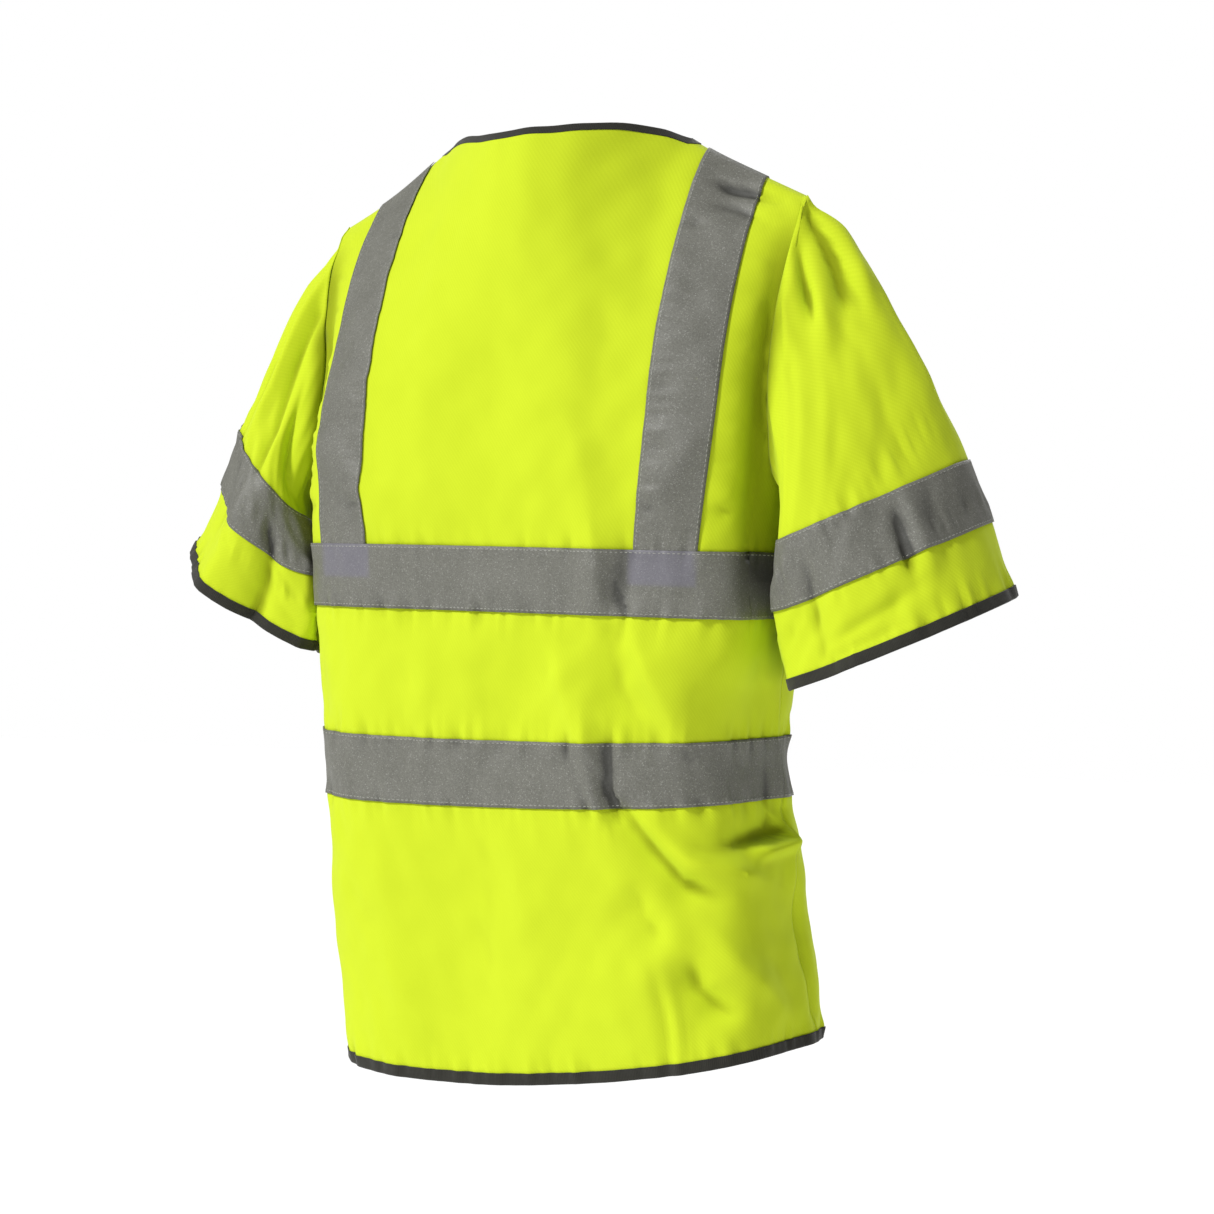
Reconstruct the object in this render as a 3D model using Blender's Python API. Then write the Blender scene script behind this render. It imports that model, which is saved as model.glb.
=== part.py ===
"""High visibility vest with short sleeves, reflective tape, bound edges and a front zip.

Units are metres, +Z is up, +Y is the wearer's back and +X the wearer's left. The origin is midway
between the two points where the neck edge meets the shoulder seams' height, so the vest hangs
below it. Every cloth piece is a flat blank that is draped over one formula for the worn shape:
girth angle 0 is the centre back, +-90 degrees the side seams and +-180 the centre front.
"""

import functools
import math

import bmesh
import bpy
from mathutils import Vector

# Body of the vest
HEM_DROP = 0.725  # origin to the lower hem
CHEST_HALF_WIDTH = 0.217
WAIST_INSET = 0.028  # chest to waist, at each side
HEM_FLARE = 0.003  # waist to hem, at each side
WAIST_HALF_WIDTH = CHEST_HALF_WIDTH - WAIST_INSET
HEM_HALF_WIDTH = WAIST_HALF_WIDTH + HEM_FLARE
BACK_DEPTH = 0.112
FRONT_DEPTH = 0.085
SECTION_POWER = 3.5  # of the superellipse that the body's section follows
CHEST_HEIGHT = -0.200  # above this the body keeps its full width
WAIST_HEIGHT = -0.490

# Neck, shoulders and armholes
SHOULDER_INSET = 0.009  # full chest width to the shoulder tip
SHOULDER_RUN = 0.098  # shoulder tip to the neck edge
SHOULDER_HALF_WIDTH = CHEST_HALF_WIDTH - SHOULDER_INSET
NECK_HALF_WIDTH = SHOULDER_HALF_WIDTH - SHOULDER_RUN
NECK_POINT_HEIGHT = -0.008
BACK_NECK_RISE = 0.008  # centre back above the neck points
NECK_CROWN = 0.112  # the shoulder ridge, were it to run on to the centre line
SHOULDER_DROP = 0.046  # neck point to shoulder tip
SHOULDER_FALL = 0.30  # depth over which the cloth rounds from the ridge to the flat of the back
CHEST_FALL = 0.25
FALL_POWER = 2.4
FALL_ROUNDING = 0.85
V_NECK_DROP = 0.165  # origin to the top of the front opening
ARMPIT_DROP = 0.270

# Sleeves
CUFF_REACH = 0.079  # shoulder tip out to the cuff's centre
CUFF_CENTRE = Vector((SHOULDER_HALF_WIDTH + CUFF_REACH, 0.003, -0.395))
CUFF_HALF_LENGTH = 0.092
CUFF_HALF_DEPTH = 0.088
CUFF_TILT = math.radians(35.8)  # of the cuff's long axis above level
CAP_SLOPE = math.radians(-43.8)  # direction in which the sleeve leaves the armhole
CAP_FULLNESS = 0.35

# Cloth, tape and binding
FABRIC = 0.0006
TAPE = 0.0003
TAPE_WIDTH = 0.050
BINDING = 0.0004
BINDING_WIDTH = 0.008
CLEARANCE = 0.0003  # between pieces that touch
UPPER_TAPE_TOP = -0.320
LOWER_TAPE_TOP = -0.471
BRACE_INSET = 0.0145  # neck edge to the brace tape's inner edge
BRACE_INNER = NECK_HALF_WIDTH + BRACE_INSET
BRACE_TUCK = 0.028  # length of brace tape under the upper tape
SLEEVE_TAPE_UP = 0.058  # cuff to the sleeve tape's lower edge

# Zip
ZIP_SLOT = 0.0047903  # centre line to the front panels' edges, at the waist
ZIP_TAPE_WIDTH = 0.011
COIL_GAP = 0.0007  # centre line to each coil
COIL_WIDTH = 0.0026
COIL_THICKNESS = 0.0024
SLIDER_LENGTH = 0.012
SLIDER_WIDTH = 0.0096
PLATE = 0.0009
BRIDGE_LENGTH = 0.0062
BRIDGE_HEIGHT = 0.0028
BRIDGE_WIDTH = 0.0016
BRIDGE_WALL = 0.0008
PULL_LENGTH = 0.030
PULL_WIDTH = 0.0064
PULL_THICKNESS = 0.0010  # also the bar that turns under the bridge
PULL_EYE_LENGTH = 0.0040
PULL_EYE_WIDTH = 0.0030
STOP_LENGTH = 0.0035
STOP_THICKNESS = 0.0030
BOX_LENGTH = 0.0090
BOX_WIDTH = 0.0085
BOX_THICKNESS = 0.0040
PIN_WIDTH = 0.0016
PIN_THICKNESS = 0.0014
PIN_LENGTH = 0.0240

# Label
LABEL_START = 0.12  # share of the cloth's first facet below the neck binding
LABEL_END = 0.62

# Mesh fineness
NECK_STEPS = 4
ARMHOLE_STEPS = 6
RISE_STEPS = 5
RISE_EASE = 1.5  # crowds the rows towards the shoulder, where the cloth turns
SLEEVE_STEPS = 24
SLEEVE_RISE_STEPS = 3
NUDGE = 1e-4  # step for measuring the surface's slope
RULE_STEPS = 12  # chords that measure a sleeve's length
RIDGE_LIFT = 1.3  # the binding stands further off the cloth where it folds over the ridge

YELLOW = (0.55, 0.80, 0.02, 1.0)
SILVER = (0.30, 0.30, 0.28, 1.0)
BLACK = (0.02, 0.02, 0.015, 1.0)
NICKEL = (0.55, 0.55, 0.53, 1.0)
WHITE = (0.80, 0.80, 0.78, 1.0)


def signed_power(value, power):
    return math.copysign(abs(value) ** power, value)


def smooth_step(share):
    share = min(max(share, 0.0), 1.0)
    return share * share * (3 - 2 * share)


def half_width(z):
    """Half the body's width at a height: full at the chest, drawn in at the waist and hem."""
    if z >= WAIST_HEIGHT:
        share = smooth_step((CHEST_HEIGHT - z) / (CHEST_HEIGHT - WAIST_HEIGHT))
        return CHEST_HALF_WIDTH + (WAIST_HALF_WIDTH - CHEST_HALF_WIDTH) * share
    share = smooth_step((WAIST_HEIGHT - z) / (WAIST_HEIGHT + HEM_DROP))
    return WAIST_HALF_WIDTH + (HEM_HALF_WIDTH - WAIST_HALF_WIDTH) * share


def ridge_height(x):
    """Height of the shoulder ridge, which would run on up the neck inside the neck edge."""
    x = abs(x)
    slope = SHOULDER_DROP / (SHOULDER_HALF_WIDTH - NECK_HALF_WIDTH)
    if x >= NECK_HALF_WIDTH:
        return NECK_POINT_HEIGHT - slope * (x - NECK_HALF_WIDTH)
    share = (x / NECK_HALF_WIDTH) ** 2
    flatten = 1 - slope * NECK_HALF_WIDTH / (2 * NECK_CROWN)
    return NECK_POINT_HEIGHT + NECK_CROWN * (1 - share) * (1 - flatten * share)


def fall(drop, reach):
    """Share of the full depth that the cloth has reached at a drop below the ridge."""
    if drop < 0:
        return -fall(-drop, reach)
    share = min(drop / reach, 1.0)
    return (1 - (1 - share) ** FALL_POWER) ** FALL_ROUNDING


def body_surface(girth, z):
    """Point of the worn body cloth at a girth angle and a height."""
    x = half_width(z) * signed_power(math.sin(girth), 2 / SECTION_POWER)
    across = signed_power(math.cos(girth), 2 / SECTION_POWER)
    depth, reach = (BACK_DEPTH, SHOULDER_FALL) if across > 0 else (FRONT_DEPTH, CHEST_FALL)
    return Vector((x, depth * fall(ridge_height(x) - z, reach) * across, z))


def body_point(girth, z, outward=0.0):
    """Point at a height on the body cloth, moved out of it by a distance."""
    around = body_surface(girth + NUDGE, z) - body_surface(girth - NUDGE, z)
    up = body_surface(girth, z + NUDGE) - body_surface(girth, z - NUDGE)
    return body_surface(girth, z) + up.cross(around).normalized() * outward


def back_girth(x):
    """Girth angle, on the back, of a distance from the centre line at chest width."""
    return math.asin((x / CHEST_HALF_WIDTH) ** (SECTION_POWER / 2))


def zip_girth():
    """Girth angle, short of the centre front, of the front panels' edges."""
    return math.asin((ZIP_SLOT / WAIST_HALF_WIDTH) ** (SECTION_POWER / 2))


def tip_across():
    return (1 - (SHOULDER_HALF_WIDTH / CHEST_HALF_WIDTH) ** SECTION_POWER) ** (1 / SECTION_POWER)


def armhole_girth(turn):
    """Girth angle, on the back, of the armhole edge: turn 0 is the shoulder tip, 90 degrees the armpit."""
    return math.acos((tip_across() * math.cos(turn)) ** (SECTION_POWER / 2))


def armhole_height(turn):
    tip = NECK_POINT_HEIGHT - SHOULDER_DROP
    return tip - (tip + ARMPIT_DROP) * math.sin(turn)


def top_height(girth):
    """Height of the body's upper edge: neck edge, shoulder seam or armhole."""
    x = CHEST_HALF_WIDTH * abs(signed_power(math.sin(girth), 2 / SECTION_POWER))
    if x <= NECK_HALF_WIDTH:
        share = x / NECK_HALF_WIDTH
        if math.cos(girth) > 0:
            return NECK_POINT_HEIGHT + BACK_NECK_RISE * (1 - share * share)
        return NECK_POINT_HEIGHT - (V_NECK_DROP + NECK_POINT_HEIGHT) * (1 - share) ** 1.1
    if x <= SHOULDER_HALF_WIDTH + 1e-9:
        return ridge_height(x)
    across = abs(signed_power(math.cos(girth), 2 / SECTION_POWER))
    return armhole_height(math.acos(min(across / tip_across(), 1.0)))


def level(z):
    return lambda girth: z


def upper_edge(girth):
    return top_height(girth) - CLEARANCE


def binding_drop(girth):
    """Height of a strip of the binding's width along the upper edge, more where the edge is steep."""
    inner = math.copysign(abs(girth) - NUDGE, girth) if math.cos(girth) > 0 else girth
    ahead = math.copysign(abs(inner) + NUDGE, girth)
    run = body_surface(ahead, top_height(ahead)) - body_surface(inner, top_height(inner))
    flat = math.hypot(run.x, run.y)
    return BINDING_WIDTH * min(run.length / flat if flat > 0 else 1.0, 2.0)


def under_binding(girth):
    return upper_edge(girth) - binding_drop(girth)


def rise(share):
    """Row of the blank at a share of the way from the upper tape to the inner edge of the binding."""
    return lambda girth: UPPER_TAPE_TOP + (under_binding(girth) - UPPER_TAPE_TOP) * share


LEVELS = [-HEM_DROP, BINDING_WIDTH - HEM_DROP, -0.660, -0.610, -0.560]
LEVELS += [LOWER_TAPE_TOP - TAPE_WIDTH, LOWER_TAPE_TOP, (LOWER_TAPE_TOP + UPPER_TAPE_TOP - TAPE_WIDTH) / 2]
LEVELS += [UPPER_TAPE_TOP - TAPE_WIDTH, UPPER_TAPE_TOP - BRACE_TUCK, UPPER_TAPE_TOP]
RISES = [1 - (1 - (i + 1) / RISE_STEPS) ** RISE_EASE for i in range(RISE_STEPS)]
BODY_ROWS = [level(z) for z in LEVELS] + [rise(share) for share in RISES] + [upper_edge]


def quarter_stations():
    """Girth angles on the back, from the centre to the side, that meet every tape and seam edge."""
    neck = [back_girth(NECK_HALF_WIDTH * i / NECK_STEPS) for i in range(NECK_STEPS + 1)]
    brace_outer = BRACE_INNER + TAPE_WIDTH
    edges = [BRACE_INNER, (BRACE_INNER + brace_outer) / 2, brace_outer]
    edges.append((brace_outer + SHOULDER_HALF_WIDTH) / 2)
    shoulder = [back_girth(x) for x in edges]
    turns = [math.pi / 2 * i / ARMHOLE_STEPS for i in range(ARMHOLE_STEPS)]
    side = math.pi / 2 - CLEARANCE / 2 / BACK_DEPTH
    seam = math.acos((CLEARANCE / 2 / BACK_DEPTH) ** (SECTION_POWER / 2))
    return neck + shoulder + [armhole_girth(turn) for turn in turns] + [max(side, seam)]


def back_stations():
    quarter = quarter_stations()
    return [-girth for girth in reversed(quarter[1:])] + quarter


def front_stations(side):
    """Girth angles of one front, from the side seam to the zip."""
    kept = [girth for girth in quarter_stations() if girth > zip_girth() + NUDGE]
    return sorted(side * (math.pi - girth) for girth in [*kept, zip_girth()])


def material(name, colour, roughness, metallic=0.0):
    found = bpy.data.materials.get(name)
    if found:
        return found
    made = bpy.data.materials.new(name)
    made.use_nodes = True
    shader = made.node_tree.nodes["Principled BSDF"]
    shader.inputs["Base Color"].default_value = colour
    shader.inputs["Roughness"].default_value = roughness
    shader.inputs["Metallic"].default_value = metallic
    return made


def finish(bm, name, colour, roughness, metallic=0.0):
    """Turn a closed bmesh into a named object with its own material."""
    bmesh.ops.recalc_face_normals(bm, faces=bm.faces)
    if bm.calc_volume(signed=True) < 0:
        bmesh.ops.reverse_faces(bm, faces=bm.faces)
    mesh = bpy.data.meshes.new(name)
    bm.to_mesh(mesh)
    bm.free()
    mesh.materials.append(material(f"{name}_finish", colour, roughness, metallic))
    obj = bpy.data.objects.new(name, mesh)
    bpy.context.scene.collection.objects.link(obj)
    return obj


def split_cells(bm, slant=1):
    """Split all four-sided faces along the same diagonal, so that layers of cloth crease alike."""
    for face in [face for face in bm.faces if len(face.verts) == 4]:
        ordered = sorted(face.verts, key=lambda v: v.co.x + slant * v.co.y + NUDGE * v.co.z)
        bmesh.utils.face_split(face, ordered[0], ordered[-1])


def panel(name, stations, rows, inner, outer, colour, roughness):
    """Drape a rectangular blank between two distances out of the body surface."""
    bm = bmesh.new()
    across, along = len(stations) - 1, len(rows) - 1
    bmesh.ops.create_grid(bm, x_segments=across, y_segments=along, size=0.5)
    below = bmesh.ops.extrude_face_region(bm, geom=bm.faces[:])
    raised = [item for item in below["geom"] if isinstance(item, bmesh.types.BMVert)]
    bmesh.ops.translate(bm, verts=raised, vec=(0, 0, 1))
    split_cells(bm)
    for vert in bm.verts:
        girth = stations[round((vert.co.x + 0.5) * across)]
        height = rows[round((vert.co.y + 0.5) * along)](girth)
        vert.co = body_point(girth, height, inner + (outer - inner) * vert.co.z)
    return finish(bm, name, colour, roughness)


def sweep(name, profile, stations, place, colour, roughness, closed=False, slant=1):
    """Run a closed profile of (along, outward) points past a list of stations, into a ring if closed."""
    bm = bmesh.new()
    verts = [bm.verts.new((0, along, outward)) for along, outward in profile]
    edges = [bm.edges.new((verts[i - 1], vert)) for i, vert in enumerate(verts)]
    for _ in stations[1:]:
        made = bmesh.ops.extrude_edge_only(bm, edges=edges)["geom"]
        edges = [item for item in made if isinstance(item, bmesh.types.BMEdge)]
        verts = [item for item in made if isinstance(item, bmesh.types.BMVert)]
        bmesh.ops.translate(bm, verts=verts, vec=(1, 0, 0))
    if not closed:
        bmesh.ops.holes_fill(bm, edges=[edge for edge in bm.edges if edge.is_boundary], sides=0)
    split_cells(bm, slant)
    for vert in bm.verts:
        vert.co = place(stations[round(vert.co.x)], vert.co.y, vert.co.z)
    if closed:
        bmesh.ops.remove_doubles(bm, verts=bm.verts, dist=CLEARANCE / 10)
    return finish(bm, name, colour, roughness)


def folded_profile():
    """Section of a binding folded over a cloth edge: along is the distance in from the edge."""
    outer = FABRIC + CLEARANCE
    return [
        (-CLEARANCE - BINDING, -CLEARANCE - BINDING),
        (BINDING_WIDTH, -CLEARANCE - BINDING),
        (BINDING_WIDTH, -CLEARANCE),
        (-CLEARANCE, -CLEARANCE),
        (-CLEARANCE, outer),
        (BINDING_WIDTH, outer),
        (BINDING_WIDTH, outer + BINDING),
        (-CLEARANCE - BINDING, outer + BINDING),
    ]


@functools.lru_cache(maxsize=None)
def sleeve_start(turn):
    """Point where the left sleeve laps over the armhole edge: turn 0 is the shoulder tip."""
    half = min(turn, 2 * math.pi - turn) / 2
    girth = armhole_girth(half)
    girth = girth if turn <= math.pi else math.pi - girth
    return body_point(girth, armhole_height(half), 2 * FABRIC + CLEARANCE)


def sleeve_surface(side, turn, share):
    """Point of a worn sleeve: turn 0 runs down from the shoulder tip, share 0 is the armhole, 1 the cuff."""
    turn %= 2 * math.pi
    start = sleeve_start(turn)
    long_axis = Vector((math.cos(CUFF_TILT), 0, math.sin(CUFF_TILT)))
    end = CUFF_CENTRE + long_axis * CUFF_HALF_LENGTH * math.cos(turn)
    end.y += CUFF_HALF_DEPTH * math.sin(turn)
    length = (end - start).length
    leave = Vector((math.cos(CAP_SLOPE), CAP_FULLNESS * math.sin(turn), math.sin(CAP_SLOPE))) * length
    arrive = Vector((math.sin(CUFF_TILT), 0, -math.cos(CUFF_TILT))) * length
    square, cube = share**2, share**3
    point = start * (2 * cube - 3 * square + 1) + leave * (cube - 2 * square + share)
    point += end * (3 * square - 2 * cube) + arrive * (cube - square)
    point.x *= side
    return point


@functools.lru_cache(maxsize=None)
def sleeve_length(turn):
    """Length of the sleeve's cloth from the armhole to the cuff."""
    points = [sleeve_surface(1, turn, i / RULE_STEPS) for i in range(RULE_STEPS + 1)]
    return sum((b - a).length for a, b in zip(points, points[1:]))


def sleeve_point(side, turn, up, outward):
    """Point of a sleeve at a distance up from the cuff, moved out of the cloth by a distance."""
    share = 1 - up / sleeve_length(turn)
    probe = min(max(share, NUDGE), 1 - NUDGE)
    around = sleeve_surface(side, turn + NUDGE, probe) - sleeve_surface(side, turn - NUDGE, probe)
    down = sleeve_surface(side, turn, probe + NUDGE) - sleeve_surface(side, turn, probe - NUDGE)
    normal = down.cross(around).normalized() * side
    return sleeve_surface(side, turn, share) + normal * outward


def sleeve_turns():
    return [2 * math.pi * i / SLEEVE_STEPS for i in range(SLEEVE_STEPS)] + [0.0]


SLEEVE_TAPE_TOP = SLEEVE_TAPE_UP + TAPE_WIDTH
SLEEVE_UPS = [0.0, BINDING_WIDTH, SLEEVE_TAPE_UP, SLEEVE_TAPE_TOP]


def sleeve_up(index, turn):
    """Distance up from the cuff of one of the sleeve's rows."""
    if index < len(SLEEVE_UPS):
        return SLEEVE_UPS[index]
    share = (index - len(SLEEVE_UPS) + 1) / SLEEVE_RISE_STEPS
    return SLEEVE_TAPE_TOP + (sleeve_length(turn) - SLEEVE_TAPE_TOP) * share


def body_panels():
    for name, stations in (
        ("back_panel", back_stations()),
        ("left_front_panel", front_stations(1)),
        ("right_front_panel", front_stations(-1)),
    ):
        panel(name, stations, BODY_ROWS, 0.0, FABRIC, YELLOW, 0.7)


def body_tapes():
    """Two tapes round the body, the upper one over the ends of the four brace tapes."""
    under = FABRIC + CLEARANCE
    over = under + TAPE + CLEARANCE
    for label, top, inner in (("upper", UPPER_TAPE_TOP, over), ("lower", LOWER_TAPE_TOP, under)):
        rows = [level(z) for z in LEVELS if top - TAPE_WIDTH - NUDGE <= z <= top + NUDGE]
        for name, stations in (
            (f"back_{label}_tape", back_stations()),
            (f"left_front_{label}_tape", front_stations(1)),
            (f"right_front_{label}_tape", front_stations(-1)),
        ):
            panel(name, stations, rows, inner, inner + TAPE, SILVER, 0.4)
    edges = back_girth(BRACE_INNER) - NUDGE, back_girth(BRACE_INNER + TAPE_WIDTH) + NUDGE
    crossed = [girth for girth in quarter_stations() if edges[0] < girth < edges[1]]
    tucked = [z for z in LEVELS if z >= UPPER_TAPE_TOP - BRACE_TUCK - NUDGE]
    rows = [level(z) for z in tucked] + BODY_ROWS[len(LEVELS) :]
    for label, side in (("left", 1), ("right", -1)):
        back = sorted(side * girth for girth in crossed)
        front = sorted(side * (math.pi - girth) for girth in crossed)
        panel(f"{label}_back_brace_tape", back, rows, under, under + TAPE, SILVER, 0.4)
        panel(f"{label}_front_brace_tape", front, rows, under, under + TAPE, SILVER, 0.4)


def hem_binding():
    """Binding folded over the whole lower edge, from one side of the zip to the other."""
    quarter = quarter_stations()[:-1]
    left = quarter + [math.pi / 2] + front_stations(1)[1:]
    stations = [-girth for girth in reversed(left[1:])] + left

    def place(girth, along, outward):
        return body_point(girth, along - HEM_DROP, outward)

    sweep("hem_binding", folded_profile(), stations, place, BLACK, 0.8)


def neck_binding():
    """Binding folded over the neck edge: down both sides of the front and round the back."""
    rear = [back_girth(NECK_HALF_WIDTH * i / NECK_STEPS) for i in range(NECK_STEPS + 1)]
    front = [math.pi - girth for girth in reversed(rear[1:])] + [math.pi - zip_girth()]
    ridge = "ridge"
    left = [(1, girth) for girth in rear] + [(1, ridge)] + [(1, girth) for girth in front]
    right = [(-1, station) for _, station in reversed(left[1:])]

    def place(station, along, outward):
        side, girth = station
        share = along / BINDING_WIDTH
        if girth == ridge:
            x = NECK_HALF_WIDTH + along
            lifted = ridge_height(x) + outward * RIDGE_LIFT
            return Vector((side * x, 0, lifted))
        girth *= side
        edge = body_point(girth, upper_edge(girth), outward)
        inner = body_point(girth, under_binding(girth), outward)
        return edge + (inner - edge) * share

    sweep("neck_binding", folded_profile(), right + left, place, BLACK, 0.8, slant=-1)


def sleeves():
    """Two sleeves, each with a ring of tape and a bound cuff."""
    last = len(SLEEVE_UPS) + SLEEVE_RISE_STEPS - 1
    inner = FABRIC + CLEARANCE
    cloth = [(i, 0.0) for i in range(last + 1)] + [(i, FABRIC) for i in reversed(range(last + 1))]
    first = SLEEVE_UPS.index(SLEEVE_TAPE_UP)
    tape = [(first, inner), (first + 1, inner), (first + 1, inner + TAPE), (first, inner + TAPE)]
    for label, side in (("left", 1), ("right", -1)):

        def row_place(turn, index, outward, side=side):
            return sleeve_point(side, turn, sleeve_up(round(index), turn), outward)

        def edge_place(turn, along, outward, side=side):
            return sleeve_point(side, turn, along, outward)

        turns = sleeve_turns()
        sweep(f"{label}_sleeve", cloth, turns, row_place, YELLOW, 0.7, closed=True)
        sweep(f"{label}_sleeve_tape", tape, turns, row_place, SILVER, 0.4, closed=True)
        sweep(f"{label}_cuff_binding", folded_profile(), turns, edge_place, BLACK, 0.8, closed=True)


def neck_label():
    """Blank woven label on the inside of the back, just below the neck binding."""
    half = back_girth(NECK_HALF_WIDTH / NECK_STEPS)
    upper, lower = BODY_ROWS[-2], BODY_ROWS[-3]
    near, far = -CLEARANCE, -CLEARANCE - TAPE
    profile = [(LABEL_START, near), (LABEL_END, near), (LABEL_END, far), (LABEL_START, far)]

    def place(girth, share, outward):
        top = body_point(girth, upper(girth), outward)
        return top + (body_point(girth, lower(girth), outward) - top) * share

    sweep("neck_label", profile, [-half, 0.0, half], place, WHITE, 0.7, slant=-1)


def block(name, low, high, colour, roughness, metallic=0.0, bevel=0.0):
    """Rectangular piece between two corners, its edges rounded by a bevel."""
    bm = bmesh.new()
    bmesh.ops.create_cube(bm, size=1.0)
    low, high = Vector(low), Vector(high)
    for vert in bm.verts:
        vert.co = Vector((a + (b - a) * (c + 0.5) for a, b, c in zip(low, high, vert.co)))
    if bevel:
        bmesh.ops.bevel(bm, geom=bm.edges[:], offset=bevel, segments=1, profile=0.5, affect="EDGES")
    return finish(bm, name, colour, roughness, metallic)


def combine(obj, operation, low, high):
    """Join a rectangular helper to an object, or cut it out of it."""
    helper = block(f"{obj.name}_helper_{len(obj.modifiers)}", low, high, NICKEL, 0.4)
    helper.hide_render = True
    helper.display_type = "WIRE"
    modifier = obj.modifiers.new(operation.lower(), "BOOLEAN")
    modifier.operation = operation
    modifier.solver = "EXACT"
    modifier.object = helper


ZIP_TOP = -V_NECK_DROP - 2 * BINDING_WIDTH - 0.002
ZIP_BOTTOM = BINDING_WIDTH + 0.002 - HEM_DROP
COIL_TOP = ZIP_TOP - STOP_LENGTH - CLEARANCE
BOX_TOP = ZIP_BOTTOM + BOX_LENGTH
COIL_FRONT = -FRONT_DEPTH - COIL_THICKNESS / 2
COIL_BACK = -FRONT_DEPTH + COIL_THICKNESS / 2
COIL_EDGE = COIL_GAP + COIL_WIDTH
SLIDER_HEIGHT = COIL_TOP - CLEARANCE - SLIDER_LENGTH / 2  # of its centre, with the zip closed
PLATE_FRONT = COIL_FRONT - CLEARANCE - PLATE
PULL_AXIS = PLATE_FRONT - (BRIDGE_HEIGHT - BRIDGE_WALL) / 2


def mirrored_block(name, side, low, high, *finish_values):
    """A block given for the wearer's left, or its mirror image for the right."""
    if side < 0:
        low, high = (-high[0], *low[1:]), (-low[0], *high[1:])
    return block(name, low, high, *finish_values)


def zip_halves():
    """Woven zip tapes behind the fronts' edges, each with its coil and its top stop."""
    outer = -FRONT_DEPTH + CLEARANCE
    pin_top = ZIP_BOTTOM + PIN_LENGTH
    for label, side, coil_bottom in (("left", 1, pin_top + CLEARANCE), ("right", -1, BOX_TOP + CLEARANCE)):
        low = (COIL_EDGE + CLEARANCE, outer, BOX_TOP + CLEARANCE)
        high = (COIL_EDGE + CLEARANCE + ZIP_TAPE_WIDTH, outer + FABRIC, ZIP_TOP)
        mirrored_block(f"{label}_zip_tape", side, low, high, BLACK, 0.8)
        low, high = (COIL_GAP, COIL_FRONT, coil_bottom), (COIL_EDGE, COIL_BACK, COIL_TOP)
        mirrored_block(f"{label}_zip_coil", side, low, high, BLACK, 0.5)
        low = (COIL_GAP, -FRONT_DEPTH - STOP_THICKNESS / 2, COIL_TOP + CLEARANCE)
        high = (COIL_EDGE, -FRONT_DEPTH + STOP_THICKNESS / 2, ZIP_TOP)
        mirrored_block(f"{label}_zip_top_stop", side, low, high, NICKEL, 0.35, 1.0)


def zip_bottom():
    """Insertion pin on the left half, standing in the socket of the box on the right half."""
    pin_low = (COIL_GAP, -FRONT_DEPTH - PIN_THICKNESS / 2, ZIP_BOTTOM + BOX_LENGTH / 4)
    pin_high = (COIL_GAP + PIN_WIDTH, -FRONT_DEPTH + PIN_THICKNESS / 2, ZIP_BOTTOM + PIN_LENGTH)
    block("zip_insertion_pin", pin_low, pin_high, NICKEL, 0.35, 1.0)
    low = (-BOX_WIDTH / 2, -FRONT_DEPTH - BOX_THICKNESS / 2, ZIP_BOTTOM)
    high = (BOX_WIDTH / 2, -FRONT_DEPTH + BOX_THICKNESS / 2, BOX_TOP)
    box = block("zip_retainer_box", low, high, NICKEL, 0.35, 1.0)
    socket_low = [value - CLEARANCE for value in pin_low]
    socket_high = [pin_high[0] + CLEARANCE, pin_high[1] + CLEARANCE, BOX_TOP + BOX_LENGTH]
    combine(box, "DIFFERENCE", socket_low, socket_high)


def zip_slider():
    """Two plates joined by a post between the coils, with a bridge for the pull on the front one."""
    base = SLIDER_HEIGHT - SLIDER_LENGTH / 2
    top = SLIDER_HEIGHT + SLIDER_LENGTH / 2
    half = SLIDER_WIDTH / 2
    front = COIL_FRONT - CLEARANCE
    back = COIL_BACK + CLEARANCE
    slider = block("zip_slider", (-half, PLATE_FRONT, base), (half, front, top), NICKEL, 0.35, 1.0)
    post = COIL_GAP - CLEARANCE
    bite = PLATE / 2
    combine(slider, "UNION", (-half, back, base), (half, back + PLATE, top))
    combine(slider, "UNION", (-post, front - bite, top - 0.004), (post, back + bite, top - 0.001))
    arch = BRIDGE_LENGTH / 2
    low = (-BRIDGE_WIDTH / 2, PLATE_FRONT - BRIDGE_HEIGHT, SLIDER_HEIGHT - arch)
    high = (BRIDGE_WIDTH / 2, PLATE_FRONT + bite, SLIDER_HEIGHT + arch)
    combine(slider, "UNION", low, high)
    reach = arch - BRIDGE_WALL
    low = (-BRIDGE_WIDTH, PLATE_FRONT - BRIDGE_HEIGHT + BRIDGE_WALL, SLIDER_HEIGHT - reach)
    high = (BRIDGE_WIDTH, PLATE_FRONT - CLEARANCE / 3, SLIDER_HEIGHT + reach)
    combine(slider, "DIFFERENCE", low, high)


def zip_pull():
    """Flat pull whose upper bar turns under the slider's bridge."""
    half = PULL_THICKNESS / 2
    low = (-PULL_WIDTH / 2, PULL_AXIS - half, SLIDER_HEIGHT + half - PULL_LENGTH)
    high = (PULL_WIDTH / 2, PULL_AXIS + half, SLIDER_HEIGHT + half)
    pull = block("zip_pull", low, high, NICKEL, 0.35, 1.0)
    low = (-PULL_EYE_WIDTH / 2, PULL_AXIS - PULL_THICKNESS, SLIDER_HEIGHT - half - PULL_EYE_LENGTH)
    high = (PULL_EYE_WIDTH / 2, PULL_AXIS + PULL_THICKNESS, SLIDER_HEIGHT - half)
    combine(pull, "DIFFERENCE", low, high)


def clear_scene():
    for obj in list(bpy.data.objects):
        bpy.data.objects.remove(obj, do_unlink=True)


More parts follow.
